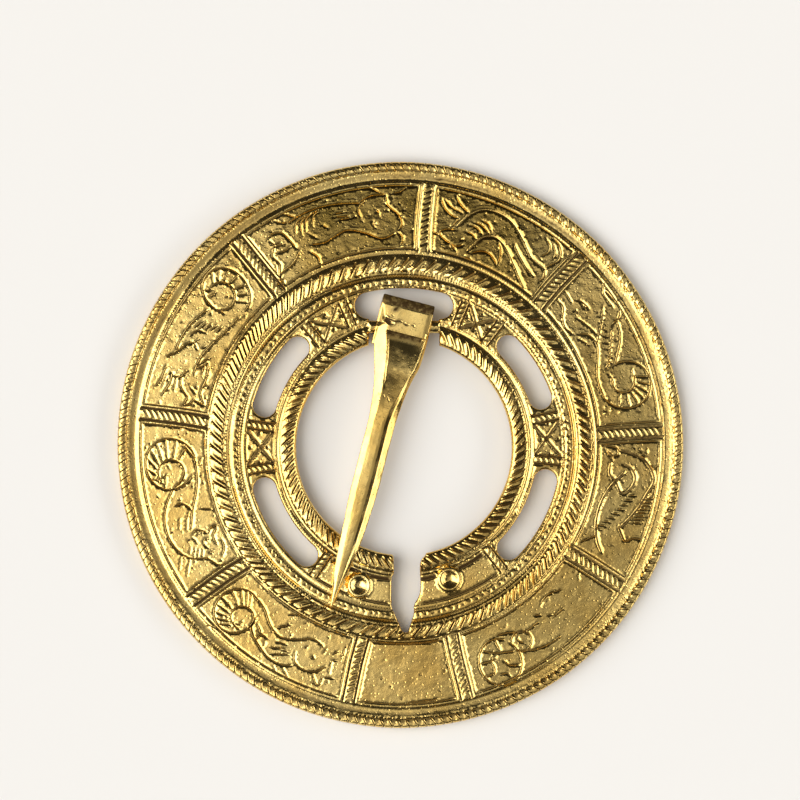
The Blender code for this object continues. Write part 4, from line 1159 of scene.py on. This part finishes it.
def disc_mesh():
    outlines = [rim_outline(), hole_outline(), top_slot()] + [kidney(*slot) for slot in SLOTS[1:]]
    strokes = panel_strokes() + frame_strokes() + ring_strokes()
    dots = field_dots()
    points, triangles = face_mesh(outlines, strokes, dots)
    height, dirt_and_shade = face_height(points, strokes, dots)
    # Round off the plate's edges
    height -= EDGE_DROP * np.clip(1.0 - distances(points, np.vstack(outlines)) / EDGE_ROUND, 0.0, 1.0) ** 2
    neck = neck_section(points, 1)
    on_neck = ~np.isnan(neck)
    height[on_neck] = neck[on_neck]
    dirt_and_shade[on_neck] *= 0.3
    return close_below(points, triangles, height, dirt_and_shade)


def plate_side(outline):
    """The side that the plate is on, for the outline of a hole: 1 or -1 as the outline runs."""
    x, y = outline[:, 0], outline[:, 1]
    area = (x * np.roll(y, -1) - np.roll(x, -1) * y).sum()
    return 1 if area > 0 else -1


def boundary_loops(triangles):
    """Ordered loops of the edges that only one triangle uses, as point numbers."""
    sides = np.vstack([triangles[:, [0, 1]], triangles[:, [1, 2]], triangles[:, [2, 0]]])
    found = {(a, b) for a, b in sides.tolist()}
    following = {a: b for a, b in found if (b, a) not in found}
    loops = []
    while following:
        start, current = next(iter(following.items()))
        loop = [start]
        del following[start]
        while current != start:
            loop.append(current)
            current = following.pop(current)
        loops.append(loop)
    return loops


def back_height(points):
    """Height of the plate's back: a plain plate inside the rim's foot."""
    radius = np.hypot(points[:, 0], points[:, 1])
    height = PLATE_BOTTOM * (1.0 - smooth_step(radius, RIM_INNER_RADIUS - 0.25, RIM_INNER_RADIUS + 0.05))
    inside = radius < RIM_INNER_RADIUS - 0.3
    height += inside * (0.03 * lattice_noise(points[:, 0], points[:, 1], 3.0, 51)
                        + 0.008 * lattice_noise(points[:, 0], points[:, 1], 0.9, 52))
    neck = neck_section(points, -1)
    return np.where(np.isnan(neck), height, neck)


def wall(a, b, c, d):
    """Two triangles for each face of a wall: a and b are its corners on one ring, c and d on the next."""
    return [np.column_stack([a, b, d]), np.column_stack([a, d, c])]


def close_below(points, triangles, height, dirt_and_shade):
    """Add the walls and the back to the face, and return vertices, faces and the darkening from dirt and
    painted shade.
    """
    loops = sorted(boundary_loops(triangles), key=lambda loop: -np.ptp(points[loop, 0]))
    low_points = [points[loop] for loop in loops]
    low_points[0] = low_points[0] * ((RIM_RADIUS - RIM_TAPER) / np.hypot(*low_points[0].T))[:, None]
    rings = [ring_row(radius, 0.9) for radius in (39.3, RIM_INNER_RADIUS + 0.05, RIM_INNER_RADIUS - 0.1,
                                                  RIM_INNER_RADIUS - 0.27)]
    grid = field_points(BACK_STEP)
    grid = grid[np.hypot(*grid.T) < RIM_INNER_RADIUS - 0.6]
    grid = apart(grid, np.vstack(low_points), 0.4)
    grid = grid[on_plate(grid, low_points)]
    back_points, back = triangulate(np.vstack(low_points + rings + [grid]), numbered(low_points, True))
    back = keep_plate(back_points, back, low_points)
    back_z = back_height(back_points)

    first_back = len(points)
    faces = [triangles, back[:, ::-1] + first_back]
    vertices = [np.column_stack([points, height]), np.column_stack([back_points, back_z])]
    total = first_back + len(back_points)
    for index, (loop, low) in enumerate(zip(loops, numbered(low_points, False, first_back))):
        top, bottom = vertices[0][loop], vertices[1][np.array(low) - first_back]
        rounds = [loop]
        for share in ((0.25, 0.6, 0.9) if index == 0 else (0.5,)):
            between = top + (bottom - top) * share
            if index == 0:
                bulge = RIM_BULGE * math.sin(math.pi * share) ** 0.7
                between[:, :2] *= (1.0 + bulge / np.hypot(between[:, 0], between[:, 1]))[:, None]
            vertices.append(between)
            rounds.append(list(range(total, total + len(loop))))
            total += len(loop)
        rounds.append(low)
        for upper, under in zip(rounds, rounds[1:]):
            faces += wall(np.roll(upper, -1), upper, np.roll(under, -1), under)
    vertices, faces = np.vstack(vertices), np.vstack(faces)
    dirt_and_shade = np.concatenate([dirt_and_shade, np.full(total - len(points), 0.25)])
    return vertices, faces, dirt_and_shade


def mesh_object(name, vertices, faces, attributes):
    """An object from vertices in millimetres, shaded smooth, with named values at its vertices."""
    mesh = bpy.data.meshes.new(name)
    mesh.vertices.add(len(vertices))
    mesh.vertices.foreach_set("co", (np.asarray(vertices) * MM).astype(np.float32).ravel())
    mesh.loops.add(3 * len(faces))
    mesh.loops.foreach_set("vertex_index", np.asarray(faces, np.int32).ravel())
    mesh.polygons.add(len(faces))
    mesh.polygons.foreach_set("loop_start", np.arange(len(faces), dtype=np.int32) * 3)
    mesh.update(calc_edges=True)
    mesh.validate()
    for label, values in attributes.items():
        attribute = mesh.attributes.new(label, "FLOAT", "POINT")
        attribute.data.foreach_set("value", np.asarray(values, np.float32))
    mesh.shade_smooth()
    obj = bpy.data.objects.new(name, mesh)
    bpy.context.scene.collection.objects.link(obj)
    return obj


def make_disc():
    vertices, faces, dirt_and_shade = disc_mesh()
    # Lines that are cut through the patina show clean metal: where the dark patches lie, the lines keep the
    # plain metal colour, without the patches' painted shade or their own darkening, so they show lighter than
    # the panel
    dark_patch = stains_and_shade(vertices[:, :2]) * (vertices[:, 2] > PLATE_BOTTOM + 0.5)
    patina_and_shade = dark_patch * (1.0 - dirt_and_shade)
    dirt_and_shade = dirt_and_shade * (1.0 - dark_patch)
    x, y, z = settle(*vertices.T)
    disc = mesh_object("brooch_plate", np.column_stack([x, y, z]), faces, {"dirt_and_shade": dirt_and_shade, "patina_and_shade": patina_and_shade})
    disc.data.set_sharp_from_angle(angle=math.radians(75.0))
    return disc


# ---------------------------------------------------------------- the pin

# The pin's own frame: U runs from the hinge to the tip, V to the right as one looks at the face, W up
PIN_TURN = math.radians(-90.0 - 14.2)
PIN_HINGE = settle(0.0, NECK_RING_RADIUS, NECK_HEIGHT)

# The strap rolled round the neck: its edges along U, V and W, and the opening that the neck runs through
HEAD_TOP = -3.79
HEAD_HEIGHT = 2.28
HEAD_LEFT = -3.9
HEAD_RIGHT = 3.5
BACK_STRAP_HEIGHT = -1.9
BACK_STRAP_END = 3.4
LOOP_OPENING = ((-2.65, -1.2), (2.4, -1.2), (2.4, 1.2), (-2.65, 1.2))
ROLL_RADIUS = 0.8
STRAP_END_RADIUS = 0.6
# Where the strap slopes up from its end to the head's flat, as (U, W)
BAND_SLOPE = ((3.4, 1.55), (1.0, 1.75), (0.2, 2.28))

# The shank's underside, lifted over the strap, and how far it is narrower than the shank's edges
SHANK_BOTTOM = 1.15
BAND_CLEARANCE = 0.15
PIN_EDGE_INSET = 0.2
# The hollow of the blade's face
SCOOP_START = 1.25
SCOOP_END = 11.5
SCOOP_DEPTH = 0.16

PIN_STEP = 0.15
PIN_VOXEL = 0.1

# Sections through the head's flat and the shank: U, then (V, W) from the left edge to the right one
PIN_SECTIONS = (
    (-2.4, (-4.00, 1.60), (-3.65, 2.32), (-3.0, 2.36), (2.8, 2.36), (3.05, 2.32), (3.30, 2.10), (3.55, 1.60)),
    (1.10, (-3.83, 1.55), (-2.40, 2.30), (-2.1, 2.34), (2.8, 2.34), (3.10, 2.30), (3.40, 2.10), (3.69, 1.60)),
    (1.25, (-3.82, 1.55), (-2.35, 2.30), (-2.1, 1.80), (3.0, 1.80), (3.15, 2.10), (3.42, 1.95), (3.69, 1.60)),
    (3.27, (-3.60, 1.55), (-1.75, 2.42), (-1.5, 2.18), (2.9, 2.18), (3.10, 2.32), (3.40, 2.05), (3.66, 1.65)),
    (5.0, (-3.19, 1.72), (-1.40, 2.58), (-1.15, 2.36), (2.6, 2.36), (2.85, 2.46), (3.2, 2.15), (3.55, 1.70)),
    (7.5, (-2.52, 1.95), (-1.10, 2.68), (-0.80, 2.50), (1.9, 2.50), (2.15, 2.56), (2.5, 2.30), (2.92, 1.80)),
    (9.6, (-2.13, 2.12), (-0.95, 2.76), (-0.45, 2.64), (1.25, 2.64), (1.5, 2.66), (2.05, 2.40), (2.56, 1.90)),
    (12.2, (-1.85, 2.25), (-0.92, 2.82), (0.0, 2.80), (0.45, 2.80), (0.85, 2.80), (1.45, 2.58), (2.28, 1.95)),
    (14.2, (-1.75, 2.35), (-1.00, 2.80), (-0.4, 2.84), (0.3, 2.84), (0.66, 2.80), (1.20, 2.62), (2.14, 1.98)),
    (22.7, (-1.79, 2.28), (-1.02, 2.73), (-0.4, 2.77), (0.3, 2.77), (0.70, 2.73), (1.22, 2.55), (2.11, 1.92)),
    (29.8, (-1.53, 2.10), (-0.85, 2.52), (-0.4, 2.56), (0.2, 2.56), (0.55, 2.52), (0.98, 2.36), (1.72, 1.85)),
    (35.5, (-1.24, 1.88), (-0.68, 2.24), (-0.5, 2.26), (0.0, 2.26), (0.20, 2.24), (0.42, 2.10), (0.85, 1.72)),
    (39.6, (-0.62, 1.42), (-0.5, 1.62), (-0.4, 1.66), (-0.2, 1.66), (-0.1, 1.62), (-0.05, 1.5), (0.05, 1.35)),
    (40.95, (-0.44, 1.2), (-0.4, 1.34), (-0.36, 1.36), (-0.3, 1.36), (-0.26, 1.34), (-0.22, 1.28),
     (-0.18, 1.2)),
)


def curved_table(stations, values, places):
    """Values read between the stations along smooth curves that don't overshoot."""
    stations, values = np.asarray(stations, float), np.asarray(values, float)
    steps = np.diff(stations)[:, None]
    slopes = np.diff(values, axis=0) / steps
    before, after = slopes[:-1], slopes[1:]
    product = before * after
    inner = np.where(product > 0, 2 * product / np.where(product > 0, before + after, 1.0), 0.0)
    tangents = np.vstack([slopes[:1], inner, slopes[-1:]])
    index = np.clip(np.searchsorted(stations, places, side="right") - 1, 0, len(stations) - 2)
    width = steps[index]
    t = (places - stations[index])[:, None] / width
    return (values[index] * (1 + 2 * t) * (1 - t) ** 2 + tangents[index] * width * t * (1 - t) ** 2
            + values[index + 1] * t * t * (3 - 2 * t) + tangents[index + 1] * width * t * t * (t - 1))


def shank_shell():
    """The head's flat and the shank as a closed shell of vertices and triangles."""
    stations = [section[0] for section in PIN_SECTIONS]
    corners = np.array([section[1:] for section in PIN_SECTIONS])
    places = np.unique(np.concatenate([stations, np.arange(stations[0], stations[-1], PIN_STEP)]))
    head = places <= stations[1]
    sections = np.empty((len(places), 7, 2))
    for coordinate in range(2):
        sections[:, :, coordinate] = curved_table(stations[2:], corners[2:, :, coordinate], places)
        sections[head, :, coordinate] = curved_table(stations[:3], corners[:3, :, coordinate], places[head])
    rings = []
    for place, section in zip(places, sections):
        fade = 1.0 - smooth_step(place, SCOOP_START, SCOOP_END)
        row = []
        for number, (a, b) in enumerate(zip(section, section[1:])):
            # The third facet is the face, which is hollow below the head's flat
            depth = SCOOP_DEPTH * fade if number == 2 and place >= SCOOP_START else 0.0
            for t in np.arange(4) / 4:
                v, w = a + (b - a) * t
                row.append((place, v, w - depth * 4 * t * (1 - t)))
        row.append((place, *section[-1]))
        bottom = SHANK_BOTTOM + (BAND_CLEARANCE if place < LOOP_OPENING[1][0] else 0.0)
        inset = min(PIN_EDGE_INSET, (section[-1][0] - section[0][0]) / 10)
        row.append((place, section[-1][0] - inset, bottom))
        row.append((place, section[0][0] + inset, bottom))
        rings.append(row)
    count = len(rings[0])
    vertices = np.array(rings).reshape(-1, 3)
    faces = []
    for ring in range(len(rings) - 1):
        a = ring * count + np.arange(count)
        b = np.roll(a, -1)
        faces += wall(a, b, a + count, b + count)
    first, last = np.arange(count), (len(rings) - 1) * count + np.arange(count)
    for cap, order in ((first, 1), (last, -1)):
        middle = len(vertices)
        vertices = np.vstack([vertices, vertices[cap].mean(0)])
        fan = np.column_stack([np.roll(cap, -1), cap, np.full(count, middle)])
        faces.append(fan[:, ::order])
    return vertices, np.vstack(faces)


def quarter_turn(corner_x, corner_y, radius, start, count):
    """Points that round off a corner by a quarter turn from the starting angle, in degrees."""
    middle = math.radians(start + 45.0)
    x = corner_x - radius * math.copysign(1.0, math.cos(middle))
    y = corner_y - radius * math.copysign(1.0, math.sin(middle))
    turns = (polar(radius, start + 90.0 * i / count) for i in range(count + 1))
    return [(x + dx, y + dy) for dx, dy in turns]


def loop_shell():
    """The strap that is rolled round the neck, as a closed shell: its side view, given its width."""
    outer = quarter_turn(HEAD_TOP, HEAD_HEIGHT, ROLL_RADIUS, 90.0, 12)
    outer += quarter_turn(HEAD_TOP, BACK_STRAP_HEIGHT, ROLL_RADIUS, 180.0, 8)
    outer += quarter_turn(BACK_STRAP_END, BACK_STRAP_HEIGHT, STRAP_END_RADIUS, 270.0, 6)
    outer += BAND_SLOPE
    outlines = [dense(outer, True), dense(LOOP_OPENING, True)]
    outlines = [outline[np.hypot(*(outline - np.roll(outline, 1, 0)).T) > 1e-6] for outline in outlines]
    profile = np.vstack(outlines)
    profile, side = triangulate(profile, numbered(outlines, True))
    side = keep_plate(profile, side, outlines)
    count = len(profile)
    left = np.column_stack([profile[:, 0], np.full(count, HEAD_LEFT), profile[:, 1]])
    right = np.column_stack([profile[:, 0], np.full(count, HEAD_RIGHT), profile[:, 1]])
    faces = [side, side[:, ::-1] + count]
    for loop in numbered(outlines, False):
        a, b = np.array(loop), np.roll(loop, -1)
        faces += wall(a, b, a + count, b + count)
    return np.vstack([left, right]), np.vstack(faces)


def outward(vertices, faces):
    """The faces turned outward: a closed shell's volume is above zero when they are."""
    a, b, c = (vertices[faces[:, k]] for k in range(3))
    return faces if (a * np.cross(b, c)).sum() > 0 else faces[:, ::-1]


def fused(shells, voxel):
    """The shells made one by a fine voxel remesh. Returns vertices, triangles and normals."""
    vertices, faces, first = [], [], 0
    for shell_vertices, shell_faces in shells:
        vertices.append(shell_vertices)
        faces.append(outward(shell_vertices, shell_faces) + first)
        first += len(shell_vertices)
    mesh = bpy.data.meshes.new("shells")
    mesh.from_pydata(np.vstack(vertices).tolist(), [], np.vstack(faces).tolist())
    obj = bpy.data.objects.new("shells", mesh)
    bpy.context.scene.collection.objects.link(obj)
    remesh = obj.modifiers.new("Remesh", "REMESH")
    remesh.mode = "VOXEL"
    remesh.voxel_size = voxel
    smooth = obj.modifiers.new("Smooth", "SMOOTH")
    smooth.factor = 0.5
    smooth.iterations = 2
    triangles = obj.modifiers.new("Triangulate", "TRIANGULATE")
    triangles.quad_method = "SHORTEST_DIAGONAL"
    bpy.context.view_layer.update()
    result = bpy.data.meshes.new_from_object(obj.evaluated_get(bpy.context.evaluated_depsgraph_get()))
    found = []
    for items, name, kind in ((result.vertices, "co", np.float32), (result.polygons, "vertices", np.int32),
                              (result.vertex_normals, "vector", np.float32)):
        values = np.empty(3 * len(items), kind)
        items.foreach_get(name, values)
        found.append(values.reshape(-1, 3))
    bpy.data.objects.remove(obj)
    placed, corners, normals = found
    return placed.astype(float), corners, normals.astype(float)


# Casting flaws and scratches of the pin's face, as (line of (U, V) points, half width, depth, flat share)
PIN_FLAWS = (
    (((-0.45, -3.0), (-0.2, -2.7), (0.05, -2.15), (-0.05, -1.8)), 0.36, 0.16, 0.5),
    (((-0.5, -3.0), (-0.42, -2.2), (-0.33, -1.4), (-0.5, -0.9), (-0.5, -0.5)), 0.15, 0.08, 0.3),
    (((-0.4, -0.2), (-0.25, 0.15), (-0.28, 0.5)), 0.16, 0.08, 0.3),
    (((-0.35, 0.95), (-0.4, 1.2), (-0.2, 1.35)), 0.14, 0.08, 0.3),
    (((-1.1, -2.1), (-1.0, -1.9)), 0.12, 0.12, 0.0),
    (((10.3, 0.1), (10.9, 0.45)), 0.1, 0.1, 0.0),
    (((10.0, -0.5), (10.5, -0.35)), 0.08, 0.07, 0.0),
)


# Where the pin is darkened: painted shade over the roll, up to where along U; a stain beside it, at a (U, V)
# place and with its spread along them; and painted shade at the top of the hollow under the head's step, from
# and to where along U and V
ROLL_SHADE = (-2.5, -2.35)
STAIN_PLACE = (-2.1, -1.7)
STAIN_SPREAD = (0.75, 0.6)
HOLLOW_SHADE_U = ((1.05, 1.15), (1.3, 3.2))
HOLLOW_SHADE_V = ((-2.4, -2.0), (2.7, 3.1))


def make_pin():
    vertices, faces, normals = fused([shank_shell(), loop_shell()], PIN_VOXEL)
    dirt_and_shade = np.zeros(len(vertices))
    upward = normals[:, 2] > 0.4
    points, height, darkening = vertices[upward][:, :2], vertices[upward][:, 2].copy(), dirt_and_shade[upward]
    for line, half_width, depth, flat in PIN_FLAWS:
        Stroke(smooth_line(line, 0.1), half_width, depth, flat, 0.3).carve(points, height, darkening)
    vertices[upward, 2] = height
    dirt_and_shade[upward] = darkening
    wear = 0.02 * lattice_noise(vertices[:, 0] + vertices[:, 2], vertices[:, 1], 1.6, 61)
    wear += 0.006 * lattice_noise(vertices[:, 0], vertices[:, 1] + vertices[:, 2], 0.5, 62)
    vertices += normals * wear[:, None]

    u, v, w = vertices.T
    # Painted shade over the roll and at the top of the hollow under the head's step, and a dark stain beside
    # the roll
    roll = (1.0 - smooth_step(u, *ROLL_SHADE)) * (w > 0)
    ahead, beside = u - STAIN_PLACE[0], v - STAIN_PLACE[1]
    dark_patch = np.exp(-(ahead / STAIN_SPREAD[0]) ** 2 - ((beside + 0.5 * ahead) / STAIN_SPREAD[1]) ** 2)
    hollow = plateau(u, *HOLLOW_SHADE_U) * plateau(v, *HOLLOW_SHADE_V)
    dirt_and_shade = np.maximum.reduce([dirt_and_shade, 0.85 * roll, 0.9 * dark_patch, 0.85 * hollow])
    pin = mesh_object("brooch_pin", vertices, faces, {"dirt_and_shade": dirt_and_shade})
    turn = Matrix.Rotation(PIN_TURN, 4, "Z")
    pin.matrix_world = Matrix.Translation(Vector(PIN_HINGE) * MM) @ turn
    return pin


# ---------------------------------------------------------------- materials

GOLD = (0.86, 0.63, 0.22, 1.0)
GOLD_WARM = (0.77, 0.50, 0.135, 1.0)
# The patina colour also paints the shade that lies over the two top panels, and the last colour paints dirt
# together with the shade in the grooves, cuts and pits, the rim's dents, and the pin's roll and the top of
# its hollow
PATINA_AND_SHADE = (0.29, 0.195, 0.045, 1.0)
DIRT_AND_SHADE_COLOUR = (0.05, 0.027, 0.007, 1.0)

# How many features of the metal's surface there are to a metre, about, and how high they stand
CLOUD_SCALE = 120.0
SMEAR_SCALE = 420.0
GRAIN_SCALE = 1500.0
PIT_SCALE = 1700.0
BUMP_HEIGHT = 0.00004


def feed(tree, socket, value):
    """Link a socket to the value of another node, or else set it."""
    if isinstance(value, bpy.types.NodeSocket):
        tree.links.new(value, socket)
    else:
        socket.default_value = value


def add_node(tree, kind, inputs=None, **settings):
    node = tree.nodes.new(kind)
    for key, value in settings.items():
        setattr(node, key, value)
    for key, value in (inputs or {}).items():
        feed(tree, node.inputs[key], value)
    return node


def noise(tree, place, scale, detail, roughness=0.55):
    inputs = {"Vector": place, "Scale": scale, "Detail": detail, "Roughness": roughness}
    return add_node(tree, "ShaderNodeTexNoise", inputs).outputs["Fac"]


def ramp(tree, value, low, high, to_low=0.0, to_high=1.0):
    inputs = {"Value": value, "From Min": low, "From Max": high, "To Min": to_low, "To Max": to_high}
    return add_node(tree, "ShaderNodeMapRange", inputs, interpolation_type="SMOOTHSTEP").outputs["Result"]


def mix_colour(tree, share, first, second):
    """The Mix node's sockets 0, 6 and 7 are its factor and its two colours."""
    return add_node(tree, "ShaderNodeMix", {0: share, 6: first, 7: second}, data_type="RGBA").outputs[2]


def calculate(tree, operation, first, second):
    return add_node(tree, "ShaderNodeMath", {0: first, 1: second}, operation=operation).outputs[0]


def vertex_value(tree, name):
    return add_node(tree, "ShaderNodeAttribute", attribute_name=name).outputs["Fac"]


def brass(name, roughness, pitting):
    """Worn brass: two tones in clouds, dark patina that also paints shade over the top panels, brown dirt and
    painted shade where the vertex value for them is, and pits.
    """
    material = bpy.data.materials.new(name)
    material.use_nodes = True
    tree = material.node_tree
    shader = tree.nodes["Principled BSDF"]
    place = add_node(tree, "ShaderNodeTexCoord").outputs["Object"]

    clouds = noise(tree, place, CLOUD_SCALE, 4.0)
    metal = mix_colour(tree, ramp(tree, clouds, 0.35, 0.68), GOLD, GOLD_WARM)
    metal = mix_colour(tree, vertex_value(tree, "patina_and_shade"), metal, PATINA_AND_SHADE)
    grains = noise(tree, place, GRAIN_SCALE, 3.0, 0.7)
    uneven = ramp(tree, grains, 0.2, 0.75, 0.75, 1.15)
    darkened = ramp(tree, calculate(tree, "MULTIPLY", uneven, vertex_value(tree, "dirt_and_shade")), 0.2, 0.9)
    smears = noise(tree, place, SMEAR_SCALE, 5.0, 0.6)
    base = ramp(tree, smears, 0.3, 0.72, roughness - 0.05, roughness + 0.09)
    rough = calculate(tree, "ADD", base, calculate(tree, "MULTIPLY", darkened, 0.3))

    pits = add_node(tree, "ShaderNodeTexVoronoi", {"Vector": place, "Scale": PIT_SCALE, "Randomness": 1.0})
    pit_depth = ramp(tree, pits.outputs["Distance"], 0.08, 0.3)
    surface = calculate(tree, "ADD", calculate(tree, "MULTIPLY", pit_depth, 0.5), grains)
    bump = {"Strength": pitting, "Distance": BUMP_HEIGHT, "Height": surface}
    for socket, value in (
            ("Base Color", mix_colour(tree, darkened, metal, DIRT_AND_SHADE_COLOUR)),
            ("Metallic", ramp(tree, darkened, 0.0, 1.0, 1.0, 0.3)),
            ("Specular IOR Level", ramp(tree, darkened, 0.0, 1.0, 0.5, 0.1)),
            ("Roughness", rough),
            ("Normal", add_node(tree, "ShaderNodeBump", bump).outputs["Normal"])):
        feed(tree, shader.inputs[socket], value)
    return material


# ---------------------------------------------------------------- scene

FLOOR_HALF_WIDTH = 0.9
FLOOR_COLOUR = (0.78, 0.77, 0.75, 1.0)
FLOOR_DROP = 0.00002


def make_floor():
    """A plain pale floor, a hair below the brooch."""
    mesh = bpy.data.meshes.new("floor")
    half = FLOOR_HALF_WIDTH
    mesh.from_pydata([(-half, -half, 0), (half, -half, 0), (half, half, 0), (-half, half, 0)], [], [range(4)])
    floor = bpy.data.objects.new("floor", mesh)
    bpy.context.scene.collection.objects.link(floor)
    floor.location.z = -FLOOR_DROP
    material = bpy.data.materials.new("floor")
    material.use_nodes = True
    shader = material.node_tree.nodes["Principled BSDF"]
    shader.inputs["Base Color"].default_value = FLOOR_COLOUR
    shader.inputs["Roughness"].default_value = 0.8
    floor.data.materials.append(material)


# The studio's light by direction. Each row is a soft white panel overhead: its strength, and where it
# fades in and out to the right and upward, as the tangents of the angles from straight up. A panel's
# upper edge climbs to the left by its slant
SOFT_PANELS = (
    (4.4, (-6.0, -3.0), (-0.40, -0.15), (-1.6, -0.6), (0.05, 0.20), 0.35),
    (1.0, (-0.40, -0.15), (-0.10, 0.00), (-1.2, -0.4), (0.12, 0.23), 0.5),
    (0.36, (-0.10, 0.00), (0.44, 0.60), (-1.0, -0.4), (0.14, 0.21), 0.0),
    (0.70, (-0.08, -0.02), (0.11, 0.16), (-0.06, -0.01), (0.11, 0.16), 0.0),
    (3.2, (1.1, 1.5), (2.8, 3.6), (-2.5, -1.2), (0.6, 1.2), 0.0),
)
# Light from everywhere, and the extra that only dull surfaces such as the floor get
AMBIENT = 0.03
FLOOR_LIGHT = 0.25
LIGHT_COLOUR = (1.0, 0.98, 0.95, 1.0)


def make_lights():
    world = bpy.data.worlds.new("Studio")
    world.use_nodes = True
    tree = world.node_tree
    direction = add_node(tree, "ShaderNodeTexCoord").outputs["Generated"]
    parts = add_node(tree, "ShaderNodeSeparateXYZ", {0: direction})
    height = calculate(tree, "MAXIMUM", parts.outputs[2], 0.05)
    right = calculate(tree, "DIVIDE", parts.outputs[0], height)
    up = calculate(tree, "DIVIDE", parts.outputs[1], height)
    total = AMBIENT
    for strength, left_edge, right_edge, lower_edge, upper_edge, slant in SOFT_PANELS:
        slanted = calculate(tree, "ADD", up, calculate(tree, "MULTIPLY", right, slant))
        light = strength
        for place, fade_in, fade_out in ((right, left_edge, right_edge), (slanted, lower_edge, upper_edge)):
            inside = calculate(tree, "SUBTRACT", ramp(tree, place, *fade_in), ramp(tree, place, *fade_out))
            light = calculate(tree, "MULTIPLY", inside, light)
        total = calculate(tree, "ADD", light, total)
    dull = add_node(tree, "ShaderNodeLightPath").outputs["Is Diffuse Ray"]
    total = calculate(tree, "ADD", total, calculate(tree, "MULTIPLY", dull, FLOOR_LIGHT))
    background = tree.nodes["Background"]
    background.inputs["Color"].default_value = LIGHT_COLOUR
    tree.links.new(total, background.inputs["Strength"])
    bpy.context.scene.world = world
    bpy.context.scene.view_settings.view_transform = "Standard"


# The lens sees a square of this width round this place, in metres, from nearly straight above: tilted
# by so many degrees towards the heading
VIEW_WIDTH = 0.113
LENS = 300.0
SENSOR = 36.0
CAMERA_TILT = 3.5
CAMERA_HEADING = 225.0
VIEW_CENTRE = Vector((-0.0001, 0.0063, 0.001))


def make_camera():
    camera = bpy.data.cameras.new("Camera")
    camera.lens = LENS
    camera.sensor_width = SENSOR
    camera.clip_end = 10.0
    distance = VIEW_WIDTH * LENS / SENSOR
    x, y = polar(math.sin(math.radians(CAMERA_TILT)), CAMERA_HEADING)
    back = Vector((x, y, math.cos(math.radians(CAMERA_TILT))))
    obj = bpy.data.objects.new("Camera", camera)
    bpy.context.scene.collection.objects.link(obj)
    right = Vector((0.0, 1.0, 0.0)).cross(back).normalized()
    up = back.cross(right)
    rotation = Matrix((right, up, back)).transposed()
    obj.matrix_world = Matrix.Translation(VIEW_CENTRE + back * distance) @ rotation.to_4x4()
    bpy.context.scene.camera = obj


make_camera()
make_lights()
make_floor()

disc = make_disc()
disc.data.materials.append(brass("cast_brass", 0.17, 1.0))
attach(disc, "disc")
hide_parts("disc")

pin = make_pin()
pin.data.materials.append(brass("pin_brass", 0.18, 0.3))
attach(pin, "pin")
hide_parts("pin")
